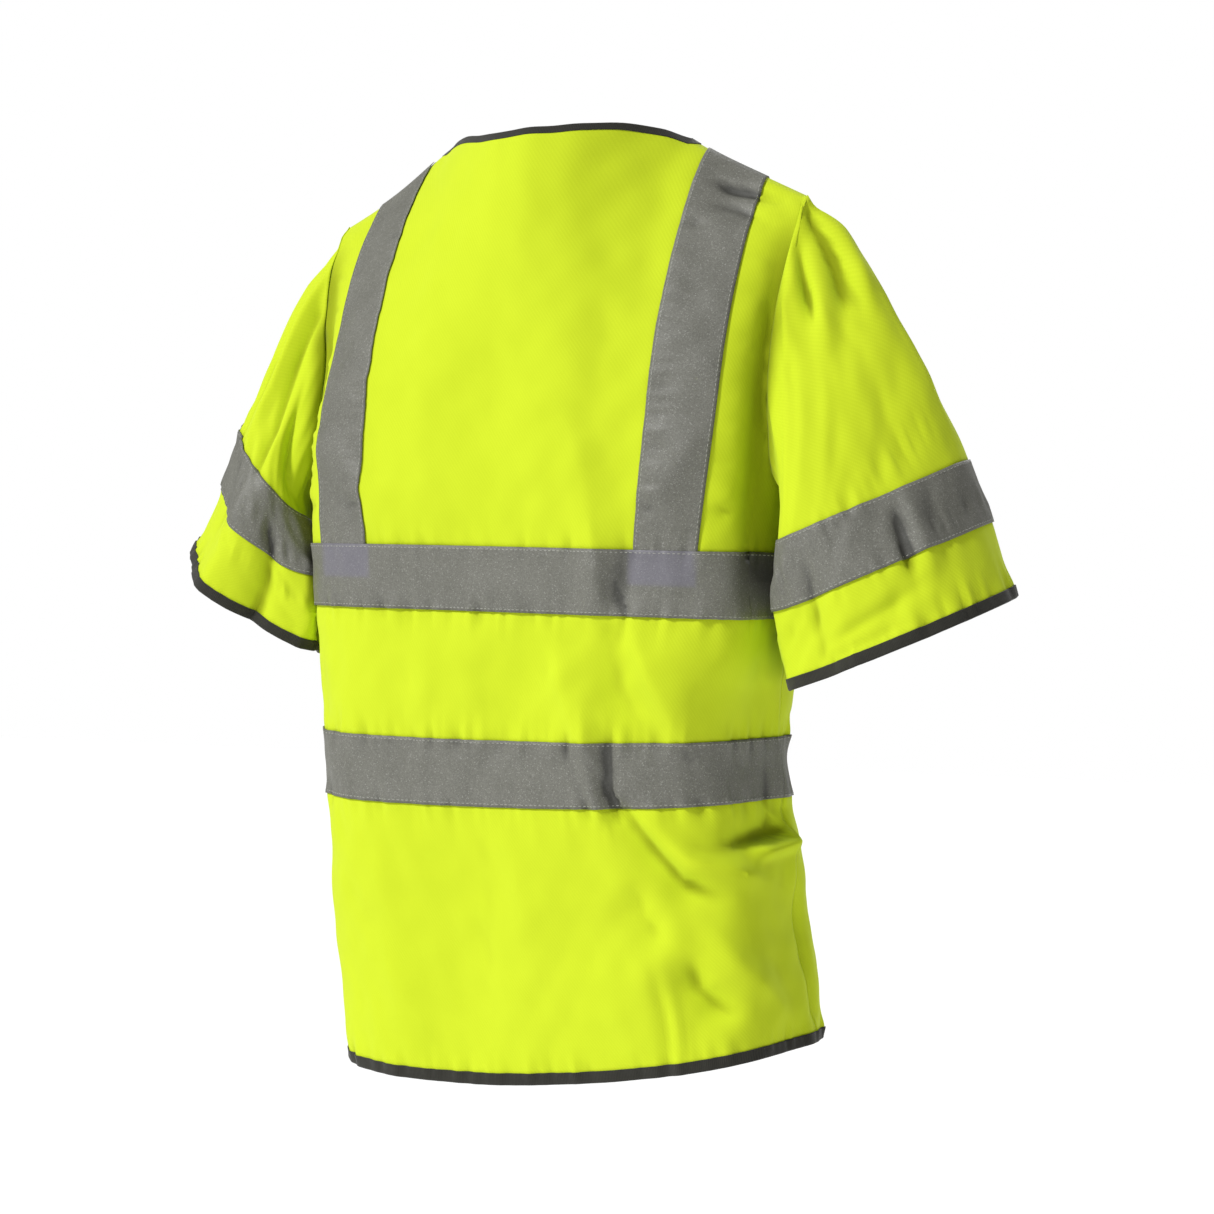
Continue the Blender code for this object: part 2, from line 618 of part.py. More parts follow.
def main():
    clear_scene()
    body_panels()
    body_tapes()
    hem_binding()
    neck_binding()
    sleeves()
    neck_label()
    zip_halves()
    zip_bottom()
    zip_slider()
    zip_pull()


main()
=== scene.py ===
"""Looks of a short-sleeved high visibility vest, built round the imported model.

Units are metres, +Z is up, +Y is the wearer's back and +X the wearer's left. Every cloth piece is a
flat blank that is laid over the worn shape and then folded, creased and puckered by one relief, so
the layers that are sewn together stay together.
"""

import itertools
import logging
import math
from collections.abc import Callable, Sequence
from dataclasses import dataclass
from enum import Enum

import bmesh
import bpy
import numpy as np
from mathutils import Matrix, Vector

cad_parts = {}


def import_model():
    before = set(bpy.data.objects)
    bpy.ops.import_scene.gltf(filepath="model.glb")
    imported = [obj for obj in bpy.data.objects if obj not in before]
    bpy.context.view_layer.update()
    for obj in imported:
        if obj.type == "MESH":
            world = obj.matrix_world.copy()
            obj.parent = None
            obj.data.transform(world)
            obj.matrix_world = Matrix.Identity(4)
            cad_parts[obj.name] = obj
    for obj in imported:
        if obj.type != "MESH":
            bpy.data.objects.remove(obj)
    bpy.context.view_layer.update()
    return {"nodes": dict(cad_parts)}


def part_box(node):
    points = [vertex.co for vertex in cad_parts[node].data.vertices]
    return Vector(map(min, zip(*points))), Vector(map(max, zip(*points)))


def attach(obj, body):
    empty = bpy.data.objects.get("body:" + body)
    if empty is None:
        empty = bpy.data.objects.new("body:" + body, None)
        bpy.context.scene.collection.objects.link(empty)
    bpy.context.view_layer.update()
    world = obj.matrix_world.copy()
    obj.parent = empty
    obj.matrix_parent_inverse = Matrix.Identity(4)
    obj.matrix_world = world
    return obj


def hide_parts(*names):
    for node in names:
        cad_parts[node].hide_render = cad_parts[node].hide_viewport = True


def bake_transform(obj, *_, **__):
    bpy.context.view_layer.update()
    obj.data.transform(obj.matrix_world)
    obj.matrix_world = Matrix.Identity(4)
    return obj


LOG = logging.getLogger("vest")
Array = np.ndarray

# The worn shape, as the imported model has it
HEM_DROP = 0.725
CHEST_HALF_WIDTH = 0.217
WAIST_HALF_WIDTH = 0.189
HEM_HALF_WIDTH = 0.192
BACK_DEPTH = 0.112
FRONT_DEPTH = 0.085
SECTION_POWER = 3.5
CHEST_HEIGHT = -0.200
WAIST_HEIGHT = -0.490
NECK_HALF_WIDTH = 0.110
NECK_POINT_HEIGHT = -0.008
BACK_NECK_RISE = 0.008
NECK_CROWN = 0.112
SHOULDER_HALF_WIDTH = 0.208
SHOULDER_DROP = 0.046
SHOULDER_FALL = 0.30
CHEST_FALL = 0.25
FALL_POWER = 2.4
FALL_ROUNDING = 0.85
V_NECK_DROP = 0.165
ARMPIT_DROP = 0.270
CUFF_CENTRE = (0.287, 0.003, -0.395)
CUFF_HALF_LENGTH = 0.092
CUFF_HALF_DEPTH = 0.088
CAP_SLOPE = math.radians(-43.8)
CAP_FULLNESS = 0.35
FABRIC = 0.0006
CLEARANCE = 0.0003
TAPE_WIDTH = 0.050
BINDING_WIDTH = 0.008
NECK_BINDING_SHOWN = 0.0052  # the neck binding rolls over the edge, so less of it shows
UPPER_TAPE_TOP = -0.320
LOWER_TAPE_TOP = -0.471
BRACE_INNER = 0.1245
BRACE_TUCK = 0.028
SLEEVE_TAPE_UP = 0.058
ZIP_SLOT = 0.0055

# The cloth's own detail
TAPE_THICK = 0.0005
TAPE_LIFT = FABRIC + 0.0004  # of a tape's inner face above the middle of the cloth
BINDING_THICK = 0.0006
STITCH_INSET = 0.0022
STITCH_PITCH = 0.0038
STITCH_LENGTH = 0.0029
STITCH_WIDTH = 0.0006
STITCH_HEIGHT = 0.00025
COLUMN = 0.0034  # spacing of the blank's columns and rows
ROW = 0.0038
NUDGE = 1e-4
FOLD_STRENGTH = 1.35
LAP_OVER = 0.004
SLEEVE_REST = 0.009  # gap where a sleeve rests against the body's side
LAP_TURN = math.radians(108)
LAP_SPREAD = math.radians(46)
SETTLED = 0.05  # width over which the folds die out beside the zip
SWELL_RISE = 0.0022  # of the broad waves, and of the small ones
RUMPLE_RISE = 0.0004
UPPER_TAPE_LIFT = 0.0005  # the upper tape passes over the ends of the braces
TAPE_SINK = 0.0012  # how far the cloth is drawn in under a tape, and under the hem's binding
HEM_SINK = 0.0002
SINK_EDGE = 0.008  # width of the soft edge of what is drawn in
TAPE_ROW = 0.0025
BRACE_LENGTH = 0.30
BINDING_ROWS = 26
SLEEVE_COLUMNS = 180
SLEEVE_GIRTH = 0.56
SHARE_METRES = 0.25  # length of a sleeve's cloth
SLEEVE_RADIUS = 0.09
TURN_METRES = SLEEVE_GIRTH / 360  # distance round a sleeve for each degree of turn
NECK_ROUND = 0.62
COIL_PITCH = 0.0014
COIL_HEIGHT = 0.0016
HOLLOW_REACH = 0.010  # for the painted shade in hollows, a place is as deep as it lies below the cloth this far to its sides
HOLLOW_LEAST = 0.0005
BODY_REACH = 0.2  # a piece whose middle is nearer the centre line than this goes round the body
WAVE_SCALE = 0.314  # the wave texture's bands lie this far apart at a scale of 1

# The studio
LENS = 81.8
CAMERA_PLACE = (-1.073, 1.920, -0.329)
CAMERA_AIM = (-0.0267, -0.0149, -0.368)
SURROUND = 0.24
FLOOR_HEIGHT = -1.5
FLOOR_SIZE = 12.0
WHITE = "#ffffff"

# How the worn vest hangs off its plain shape: heights, and the shifts at them
SWAY_HEIGHTS = (-0.740, -0.600, -0.490, -0.350, -0.100, 0.010)
SWAY = (-0.019, -0.004, 0.012, 0.005, 0.000, 0.000)  # to the wearer's left
TILT = (-0.080, -0.050, 0.000, 0.022, 0.004, -0.010)  # rise per width
BOW = (0.420, 0.300, 0.080, -0.020, 0.000, 0.000)  # rise per width squared
DIP = (-0.004, -0.003, 0.003, 0.000, 0.000, 0.000)  # rise
NECK_BUMPS = ((0.007, -0.080, 0.036), (0.013, 0.097, 0.050))  # rise, place and spread


def signed_power(value: Array, power: float) -> Array:
    """Power of the size of a value, with the value's own sign."""
    return np.sign(value) * np.abs(value) ** power


def smooth(share: Array) -> Array:
    """Smooth step from 0 to 1."""
    share = np.clip(share, 0.0, 1.0)
    return share * share * (3 - 2 * share)


def unit(vectors: Array) -> Array:
    """Vectors scaled to length 1."""
    return vectors / np.maximum(np.linalg.norm(vectors, axis=-1, keepdims=True), 1e-12)


def sideways(girth: Array) -> Array:
    """Distance from the centre line at girth angles, as a share of the body's half width."""
    return signed_power(np.sin(girth), 2 / SECTION_POWER)


def rearwards(girth: Array) -> Array:
    """Distance behind the sides at girth angles, as a share of the body's depth."""
    return signed_power(np.cos(girth), 2 / SECTION_POWER)


def close_to(distance: Array, spread: float) -> Array:
    """1 on a line, dying out with the distance from it."""
    return np.exp(-np.abs(distance / spread) ** 1.5)


def half_width(z: Array) -> Array:
    """Half of the body's width at each height."""
    upper = smooth((CHEST_HEIGHT - z) / (CHEST_HEIGHT - WAIST_HEIGHT))
    lower = smooth((WAIST_HEIGHT - z) / (WAIST_HEIGHT + HEM_DROP))
    high = CHEST_HALF_WIDTH + (WAIST_HALF_WIDTH - CHEST_HALF_WIDTH) * upper
    low = WAIST_HALF_WIDTH + (HEM_HALF_WIDTH - WAIST_HALF_WIDTH) * lower
    return np.where(z >= WAIST_HEIGHT, high, low)


def ridge_height(x: Array) -> Array:
    """Height of the shoulder ridge at each distance from the centre line."""
    x = np.abs(x)
    slope = SHOULDER_DROP / (SHOULDER_HALF_WIDTH - NECK_HALF_WIDTH)
    share = np.minimum(x / NECK_HALF_WIDTH, 1.0) ** 2
    flatten = 1 - slope * NECK_HALF_WIDTH / (2 * NECK_CROWN)
    inside = NECK_POINT_HEIGHT + NECK_CROWN * (1 - share) * (1 - flatten * share)
    return np.where(x >= NECK_HALF_WIDTH, NECK_POINT_HEIGHT - slope * (x - NECK_HALF_WIDTH), inside)


def fall(drop: Array, reach: Array) -> Array:
    """Share of the full depth that the cloth has reached at a drop below the ridge."""
    share = np.minimum(np.abs(drop) / reach, 1.0)
    return np.sign(drop) * (1 - (1 - share) ** FALL_POWER) ** FALL_ROUNDING


def body_surface(girth: Array, z: Array) -> Array:
    """Points of the plain worn shape at girth angles and heights."""
    x = half_width(z) * sideways(girth)
    across = rearwards(girth)
    depth = np.where(across > 0, BACK_DEPTH, FRONT_DEPTH)
    reach = np.where(across > 0, SHOULDER_FALL, CHEST_FALL)
    y = depth * fall(ridge_height(x) - z, reach) * across
    return np.stack(np.broadcast_arrays(x, y, z), axis=-1)


def body_normal(girth: Array, z: Array) -> Array:
    """Directions out of the plain worn shape."""
    around = body_surface(girth + NUDGE, z) - body_surface(girth - NUDGE, z)
    up = body_surface(girth, z + NUDGE) - body_surface(girth, z - NUDGE)
    return unit(np.cross(up, around))


def back_girth(x: Array) -> Array:
    """Girth angle, on the back, of a distance from the centre line at chest width."""
    return np.arcsin((np.asarray(x) / CHEST_HALF_WIDTH) ** (SECTION_POWER / 2))


TIP_ACROSS = (1 - (SHOULDER_HALF_WIDTH / CHEST_HALF_WIDTH) ** SECTION_POWER) ** (1 / SECTION_POWER)
TIP_HEIGHT = NECK_POINT_HEIGHT - SHOULDER_DROP


def armhole_girth(turn: Array) -> Array:
    """Girth angle, on the back, of the armhole: turn 0 is the shoulder tip, 90 degrees the armpit."""
    return np.arccos(np.clip(TIP_ACROSS * np.cos(turn), 0, 1) ** (SECTION_POWER / 2))


def armhole_height(turn: Array) -> Array:
    """Height of the armhole's edge."""
    return TIP_HEIGHT - (TIP_HEIGHT + ARMPIT_DROP) * np.sin(turn)


def top_height(girth: Array) -> Array:
    """Height of the body's upper edge: neck edge, shoulder seam or armhole."""
    x = CHEST_HALF_WIDTH * np.abs(sideways(girth))
    across = np.abs(rearwards(girth))
    share = np.minimum(x / NECK_HALF_WIDTH, 1.0)
    back = NECK_POINT_HEIGHT + BACK_NECK_RISE * (1 - share * share)
    front = NECK_POINT_HEIGHT - (V_NECK_DROP + NECK_POINT_HEIGHT) * (1 - share) ** 1.1
    neck = np.where(np.cos(girth) > 0, back, front)
    hole = armhole_height(np.arccos(np.minimum(across / TIP_ACROSS, 1.0)))
    shoulder = np.where(x <= SHOULDER_HALF_WIDTH + 1e-9, ridge_height(x), hole)
    return np.where(x <= NECK_HALF_WIDTH, neck, shoulder)


class Girth:
    """Distance round the body, in metres from the centre back, for each girth angle."""

    def __init__(self) -> None:
        line = np.linspace(0, 1, 900) ** (SECTION_POWER / 2)
        quarter = np.unique(np.concatenate([np.arcsin(line), np.arccos(line)]))
        self.angle = np.concatenate([quarter, math.pi - quarter[-2::-1]])
        across = rearwards(self.angle)
        self.x = 0.2 * np.sin(self.angle) ** (2 / SECTION_POWER)
        y = across * np.where(across > 0, BACK_DEPTH, FRONT_DEPTH)
        steps = np.hypot(np.diff(self.x), np.diff(y))
        self.arc = np.concatenate([[0.0], np.cumsum(steps)])
        self.side = float(np.interp(math.pi / 2, self.angle, self.arc))
        self.whole = float(self.arc[-1])

    def of(self, girth: Array) -> Array:
        """Distance round the body at girth angles."""
        return np.sign(girth) * np.interp(np.abs(girth), self.angle, self.arc)

    def back(self, x: float) -> float:
        """Distance round the body of a place on the back, by its distance from the centre line."""
        rear = self.angle <= math.pi / 2
        return math.copysign(float(np.interp(abs(x), self.x[rear], self.arc[rear])), x)


GIRTH = Girth()


@dataclass(frozen=True)
class Fold:
    """A crease in the cloth, which rises out of it, or sinks in where rise is negative.

    Args:
        path: points of its line, in metres along and up the cloth.
        rise: its height.
        width: how far it spreads to each side.
        skew: from -1 to 1, how much wider one side is than the other.
        starts: share of the rise at the line's first end.
        ends: share of the rise at its last end.
    """

    path: tuple[tuple[float, float], ...]
    rise: float
    width: float
    skew: float = 0.0
    starts: float = 0.0
    ends: float = 0.0

    def height(self, a: Array, b: Array) -> Array:
        """The fold's height at points of the cloth."""
        nearest = np.full(a.shape, np.inf)
        share = np.zeros(a.shape)
        side = np.zeros(a.shape)
        legs = list(itertools.pairwise(self.path))
        runs = [math.dist(p, q) for p, q in legs]
        done = 0.0
        for ((pa, pb), (qa, qb)), run in zip(legs, runs, strict=True):
            da, db = (qa - pa) / run, (qb - pb) / run
            along = np.clip((a - pa) * da + (b - pb) * db, 0, run)
            gap = np.hypot(a - pa - along * da, b - pb - along * db)
            near = gap < nearest
            nearest = np.where(near, gap, nearest)
            share = np.where(near, (done + along) / sum(runs), share)
            side = np.where(near, np.sign(da * (b - pb) - db * (a - pa)), side)
            done += run
        reach = nearest / (self.width * (1 + self.skew * side))
        first = self.starts + (1 - self.starts) * smooth(share / 0.4)
        last = self.ends + (1 - self.ends) * smooth((1 - share) / 0.4)
        return self.rise * first * last * np.exp(-(reach**1.6))


Line = tuple[tuple[float, float], ...]


def folds(lay: Callable[..., Line], *rows: tuple) -> tuple[Fold, ...]:
    """Folds from rows of a line's points, then the fold's rise, width, skew, starts and ends."""
    return tuple(Fold(lay(*points), *rest) for points, *rest in rows)


def on_back(*points: tuple[float, float]) -> Line:
    """A line on the back, from distances to the centre line and heights."""
    return tuple((GIRTH.back(x), z) for x, z in points)


def round_body(*points: tuple[float, float]) -> Line:
    """A line on the body, from distances round it and heights."""
    return points


BACK_FOLDS = folds(
    on_back,
    # down from between the shoulders to the upper tape, and through it
    (((-0.058, -0.215), (-0.075, -0.270), (-0.090, -0.330)), 0.0045, 0.020, 0.3, 0.0, 0.8),
    (((-0.088, -0.318), (-0.094, -0.350), (-0.098, -0.374)), 0.0040, 0.011, 0.3, 0.7, 0.4),
    (((-0.106, -0.300), (-0.112, -0.350), (-0.112, -0.380)), -0.0028, 0.012, 0.0, 0.0, 0.6),
    # between the tapes, slanting down to the wearer's right
    (((-0.118, -0.372), (-0.138, -0.415), (-0.166, -0.468)), 0.0065, 0.016, -0.4, 0.4, 0.6),
    (((-0.100, -0.385), (-0.118, -0.430), (-0.142, -0.470)), -0.0045, 0.014, 0.2, 0.2, 0.5),
    (((-0.058, -0.388), (-0.070, -0.430), (-0.090, -0.468)), 0.0050, 0.017, -0.3, 0.1, 0.8),
    (((0.060, -0.385), (0.055, -0.430), (0.072, -0.470)), 0.0028, 0.026, 0.3, 0.3, 0.3),
    # through the lower tape
    (((-0.090, -0.466), (-0.097, -0.500), (-0.100, -0.524)), 0.0050, 0.012, -0.3, 0.8, 0.8),
    (((-0.106, -0.462), (-0.112, -0.495), (-0.112, -0.528)), -0.0042, 0.007, 0.3, 0.4, 0.6),
    # below the waist
    (((-0.121, -0.522), (-0.138, -0.554), (-0.155, -0.580), (-0.186, -0.602)), -0.0085, 0.0135, 0.4, 0.7),
    (((-0.142, -0.535), (-0.163, -0.565), (-0.199, -0.590)), 0.0060, 0.0130, 0.2, 0.3, 0.2),
    (((-0.174, -0.558), (-0.200, -0.548), (-0.2145, -0.533)), -0.0070, 0.0110, -0.2, 0.0, 0.4),
    (((-0.194, -0.566), (-0.208, -0.560), (-0.2150, -0.552)), 0.0080, 0.0075, 0.3, 0.0, 0.6),
    (((-0.115, -0.572), (-0.122, -0.606), (-0.144, -0.632)), -0.0060, 0.0170, 0.3),
    (((-0.154, -0.630), (-0.159, -0.664), (-0.184, -0.698)), -0.0090, 0.0175, 0.4, 0.0, 0.1),
    (((-0.172, -0.610), (-0.184, -0.650), (-0.198, -0.690)), 0.0060, 0.0140, 0.0, 0.0, 0.3),
    (((-0.208, -0.575), (-0.206, -0.630), (-0.213, -0.700)), -0.0070, 0.0120, 0.3, 0.1, 0.5),
    (((-0.129, -0.630), (-0.131, -0.680), (-0.130, -0.735)), -0.0016, 0.0045, 0.3, 0.1, 1.0),
    (((-0.139, -0.640), (-0.141, -0.690), (-0.140, -0.735)), 0.0016, 0.0045, 0.3, 0.1, 1.0),
    (((0.110, -0.525), (0.120, -0.600), (0.105, -0.700)), 0.0040, 0.034, 0.2, 0.2, 0.2),
    (((0.020, -0.530), (0.010, -0.600), (0.030, -0.680)), -0.0030, 0.030, 0.2, 0.2, 0.2),
    # hollow that runs down beside each armhole
    (((-0.184, -0.070), (-0.185, -0.200), (-0.192, -0.350)), -0.0080, 0.015, -0.3, 0.1, 0.3),
    (((0.182, -0.090), (0.184, -0.200), (0.190, -0.330)), -0.0080, 0.015, 0.3, 0.1, 0.3),
    # drags from the shoulder blades to the armpits
    (((-0.085, -0.120), (-0.075, -0.200), (-0.060, -0.255)), -0.0022, 0.020),
    (((0.150, -0.240), (0.115, -0.275), (0.070, -0.292)), 0.0030, 0.018, 0.3, 0.3),
    (((0.160, -0.262), (0.125, -0.300), (0.100, -0.318)), -0.0025, 0.012, 0.0, 0.3),
    (((-0.160, -0.215), (-0.140, -0.260), (-0.118, -0.300)), 0.0030, 0.020, 0.3, 0.3),
    # creases across the top of the right brace
    (((-0.118, -0.022), (-0.146, -0.030), (-0.176, -0.046)), -0.0048, 0.0048, 0.3, 0.1, 0.2),
    (((-0.118, -0.036), (-0.142, -0.046), (-0.178, -0.057)), -0.0054, 0.0048, 0.3, 0.1, 0.2),
    (((-0.124, -0.056), (-0.150, -0.062), (-0.172, -0.074)), -0.0036, 0.0050, 0.3, 0.0, 0.2),
)
SIDE_AND_FRONT_FOLDS = folds(
    round_body,
    (((0.250, -0.300), (0.262, -0.420), (0.250, -0.560), (0.262, -0.740)), 0.0070, 0.026, 0.3, 0.2, 0.8),
    (((-0.262, -0.400), (-0.275, -0.520), (-0.262, -0.740)), 0.0080, 0.024, -0.3, 0.2, 0.8),
    (((0.300, -0.330), (0.330, -0.430), (0.318, -0.600), (0.335, -0.740)), -0.0060, 0.028, 0.2, 0.2, 0.7),
    (((-0.305, -0.330), (-0.335, -0.450), (-0.325, -0.620), (-0.338, -0.74)), -0.0055, 0.026, 0.2, 0.2, 0.7),
    (((0.390, -0.240), (0.375, -0.330), (0.395, -0.450), (0.385, -0.640)), 0.0055, 0.026, -0.3, 0.0, 0.2),
    (((-0.385, -0.230), (-0.372, -0.350), (-0.390, -0.520), (-0.378, -0.690)), 0.0055, 0.024, 0.3, 0.0, 0.3),
    (((0.440, -0.300), (0.430, -0.420), (0.440, -0.600)), -0.0035, 0.020, 0.0, 0.0, 0.2),
    (((-0.445, -0.280), (-0.436, -0.420), (-0.442, -0.660)), -0.0035, 0.020, 0.0, 0.0, 0.2),
    (((0.330, -0.130), (0.360, -0.200), (0.410, -0.260)), 0.0040, 0.018, 0.3, 0.2),
    (((-0.330, -0.130), (-0.362, -0.205), (-0.412, -0.262)), 0.0040, 0.018, -0.3, 0.2),
)


class Ripple:
    """Smooth seeded waves that keep any stretch of cloth from lying quite flat."""

    def __init__(self, seed: int, count: int, shortest: float, longest: float) -> None:
        pick = np.random.default_rng(seed)
        lengths = shortest * (longest / shortest) ** pick.random(count)
        angles = pick.random(count) * 2 * math.pi
        self.a = 2 * math.pi * np.cos(angles) / lengths
        self.b = 2 * math.pi * np.sin(angles) / lengths
        self.phase = pick.random(count) * 2 * math.pi
        self.weight = np.sqrt(lengths / longest) / math.sqrt(count)

    def height(self, a: Array, b: Array) -> Array:
        """Sum of the waves, of about 1 at most."""
        total = np.zeros(np.broadcast(a, b).shape)
        for ka, kb, phase, weight in zip(self.a, self.b, self.phase, self.weight, strict=True):
            total += weight * np.sin(ka * a + kb * b + phase)
        return total * 1.6


SWELL = Ripple(11, 16, 0.09, 0.26)
RUMPLE = Ripple(23, 26, 0.018, 0.050)
PUCKER = Ripple(37, 18, 0.008, 0.022)


def seam_puckers(arc: Array, z: Array) -> Array:
    """Small gathers that the thread draws along the edges of the tapes and the hem."""
    total = np.zeros(np.broadcast(arc, z).shape)
    for line, spread, rise in (
        (UPPER_TAPE_TOP, 0.010, 0.0008),
        (UPPER_TAPE_TOP - TAPE_WIDTH, 0.012, 0.0010),
        (LOWER_TAPE_TOP, 0.012, 0.0010),
        (LOWER_TAPE_TOP - TAPE_WIDTH, 0.011, 0.0009),
        (BINDING_WIDTH - HEM_DROP, 0.009, 0.0008),
    ):
        shape = PUCKER.height(arc, np.full_like(arc, line * 5)) + 0.6 * PUCKER.height(arc, z * 0.3)
        total += rise * shape * close_to(z - line, spread)
    above = smooth((z - UPPER_TAPE_TOP) / 0.02)
    for edge in (GIRTH.back(BRACE_INNER), GIRTH.back(BRACE_INNER + TAPE_WIDTH)):
        beside = close_to(np.abs(arc) - edge, 0.008)
        total += 0.0008 * above * beside * PUCKER.height(z, np.full_like(z, edge * 9))
    return total


def body_relief(girth: Array, z: Array) -> Array:
    """Height of the folds out of the plain worn shape."""
    arc = GIRTH.of(girth)
    total = SWELL_RISE * SWELL.height(arc, z) + RUMPLE_RISE * RUMPLE.height(arc, z * 0.7)
    for fold in (*BACK_FOLDS, *SIDE_AND_FRONT_FOLDS):
        total += FOLD_STRENGTH * fold.height(arc, z)
    total += seam_puckers(arc, z)
    x = half_width(z) * sideways(girth)
    below_ridge = smooth((ridge_height(x) - z) / 0.014)
    beside_zip = smooth((GIRTH.whole - np.abs(arc) - 0.022) / SETTLED)
    return total * below_ridge * beside_zip


def eased(z: Array, values: Sequence[float]) -> Array:
    """A value at each height, eased between the heights where it is given."""
    at = np.interp(z, SWAY_HEIGHTS, np.arange(len(SWAY_HEIGHTS)))
    low = np.clip(np.floor(at).astype(int), 0, len(SWAY_HEIGHTS) - 2)
    given = np.array(values)
    return given[low] + (given[low + 1] - given[low]) * smooth(at - low)


def lean(points: Array) -> Array:
    """Sway, tilt and bow the plain shape as it hangs on its wearer."""
    x, y, z = points[..., 0], points[..., 1], points[..., 2]
    moved = points.copy()
    # 0 at the zip, which hangs straight
    free = 1 - smooth(-y / 0.04) * (1 - smooth(np.abs(x) / 0.13))
    moved[..., 0] += eased(z, SWAY) * free
    moved[..., 2] += (eased(z, TILT) * x + eased(z, BOW) * x * x + eased(z, DIP)) * free
    for rise, place, spread in NECK_BUMPS:
        moved[..., 2] += rise * np.exp(-(((x - place) / spread) ** 2)) * smooth((z + 0.12) / 0.11)
    return moved


def body_point(girth: Array, z: Array, outward: Array) -> Array:
    """Points of the folded body cloth, moved out of it by distances."""
    girth, z, outward = np.broadcast_arrays(girth, z, outward)
    lift = body_relief(girth, z) + outward
    return lean(body_surface(girth, z) + body_normal(girth, z) * lift[..., None])


class Side(Enum):
    """The wearer's left and right."""

    LEFT = 1
    RIGHT = -1

    @property
    def cuff(self) -> tuple[float, float, float, float]:
        """How the cuff hangs: shift out and up, tilt in degrees, and the back edge's drop."""
        return CUFFS[self]

    @property
    def lap(self) -> tuple[float, float]:
        """How far the sleeve laps over the body at the back, and bulges behind it."""
        return LAPS[self]

    @property
    def label(self) -> str:
        """The side's name in lower case."""
        return self.name.lower()


CUFFS = {Side.LEFT: (-0.019, 0.037, 32.0, 0.010), Side.RIGHT: (0.000, 0.003, 21.0, 0.014)}
LAPS = {Side.LEFT: (0.003, 0.010), Side.RIGHT: (0.008, 0.016)}


def on_sleeve(*points: tuple[float, float]) -> Line:
    """A line on a sleeve, from degrees of turn and shares of the way to the cuff."""
    return tuple((turn * TURN_METRES, share * SHARE_METRES) for turn, share in points)


SLEEVE_FOLDS = {
    Side.RIGHT: folds(
        on_sleeve,
        (((32, 0.00), (46, 0.06), (62, 0.12)), 0.0060, 0.0080, 0.3, 0.8),
        (((12, -0.02), (26, 0.07), (38, 0.17)), -0.0110, 0.0080, 0.2, 0.9),
        (((18, 0.02), (28, 0.14), (36, 0.26)), 0.0060, 0.0090, 0.0, 0.6),
        (((5, 0.01), (12, 0.15), (22, 0.27)), -0.0085, 0.0090, 0.2, 0.8),
        (((-4, 0.02), (2, 0.16), (10, 0.32)), 0.0065, 0.0080, 0.0, 0.8),
        (((-12, 0.00), (-7, 0.15), (-4, 0.30)), -0.0060, 0.0080, 0.0, 0.8),
        (((18, 0.25), (30, 0.255), (40, 0.24)), -0.0035, 0.0150),
        (((20, 0.34), (30, 0.48), (34, 0.66)), -0.0040, 0.0150),
        (((47, 0.64), (50, 0.76), (52, 0.86)), -0.0065, 0.0070, 0.3, 0.1, 0.3),
        (((39, 0.60), (41, 0.76), (44, 0.90)), 0.0060, 0.0100, -0.2, 0.1, 0.3),
        (((44, 0.87), (72, 0.885), (104, 0.90)), -0.0045, 0.0075, 0.2, 0.2, 0.1),
        (((56, 0.945), (84, 0.945), (108, 0.96)), -0.0035, 0.0065, 0.0, 0.0, 0.2),
        (((96, 0.50), (104, 0.72), (108, 1.05)), -0.0060, 0.0130, 0.2, 0.0, 0.8),
        (((124, 0.40), (134, 0.70), (132, 1.05)), 0.0060, 0.0150, 0.0, 0.1, 0.8),
    ),
    Side.LEFT: folds(
        on_sleeve,
        (((12, 0.00), (30, 0.25), (34, 0.58)), -0.0050, 0.0080, 0.2, 0.9),
        (((22, 0.02), (46, 0.28), (56, 0.62)), 0.0060, 0.0110, 0.2, 0.9),
        (((38, 0.04), (68, 0.30), (80, 0.60)), -0.0060, 0.0090, 0.0, 0.9),
        (((60, 0.10), (90, 0.20), (140, 0.24)), -0.0090, 0.0160, 0.0, 0.3, 0.5),
        (((48, 0.55), (50, 0.76), (50, 1.05)), -0.0022, 0.0180, 0.0, 0.2, 0.7),
        (((72, 0.42), (76, 0.72), (76, 1.05)), 0.0100, 0.0190, 0.0, 0.1, 0.9),
        (((104, 0.40), (106, 0.70), (104, 1.05)), -0.0120, 0.0160, 0.0, 0.1, 0.9),
        (((134, 0.40), (136, 0.70), (134, 1.05)), 0.0090, 0.0150, 0.0, 0.1, 0.9),
    ),
}
FRONT_SLEEVE_FOLDS = folds(
    on_sleeve,
    (((-30, -0.05), (-40, 0.30), (-44, 0.70)), 0.0040, 0.0140, 0.2, 0.8),
    (((-64, 0.10), (-92, 0.20), (-140, 0.22)), -0.0090, 0.0160, 0.0, 0.3, 0.5),
    (((-70, 0.50), (-78, 0.75), (-76, 1.05)), 0.0080, 0.0170, 0.0, 0.1, 0.9),
    (((-108, 0.45), (-112, 0.70), (-110, 1.05)), -0.0080, 0.0160, 0.0, 0.1, 0.9),
    (((-146, 0.45), (-150, 0.70), (-148, 1.05)), 0.0070, 0.0160, 0.0, 0.1, 0.9),
)


def body_side(side: Side, point: Array) -> Array:
    """How far out the body's side reaches beside points of a sleeve, which rests on it."""
    y, z = point[..., 1], point[..., 2]
    deep = np.minimum(np.abs(y) / np.where(y > 0, BACK_DEPTH, FRONT_DEPTH), 1)
    reach = half_width(z) * (1 - deep**SECTION_POWER) ** (1 / SECTION_POWER)
    return reach + side.value * eased(z, SWAY) + SLEEVE_REST


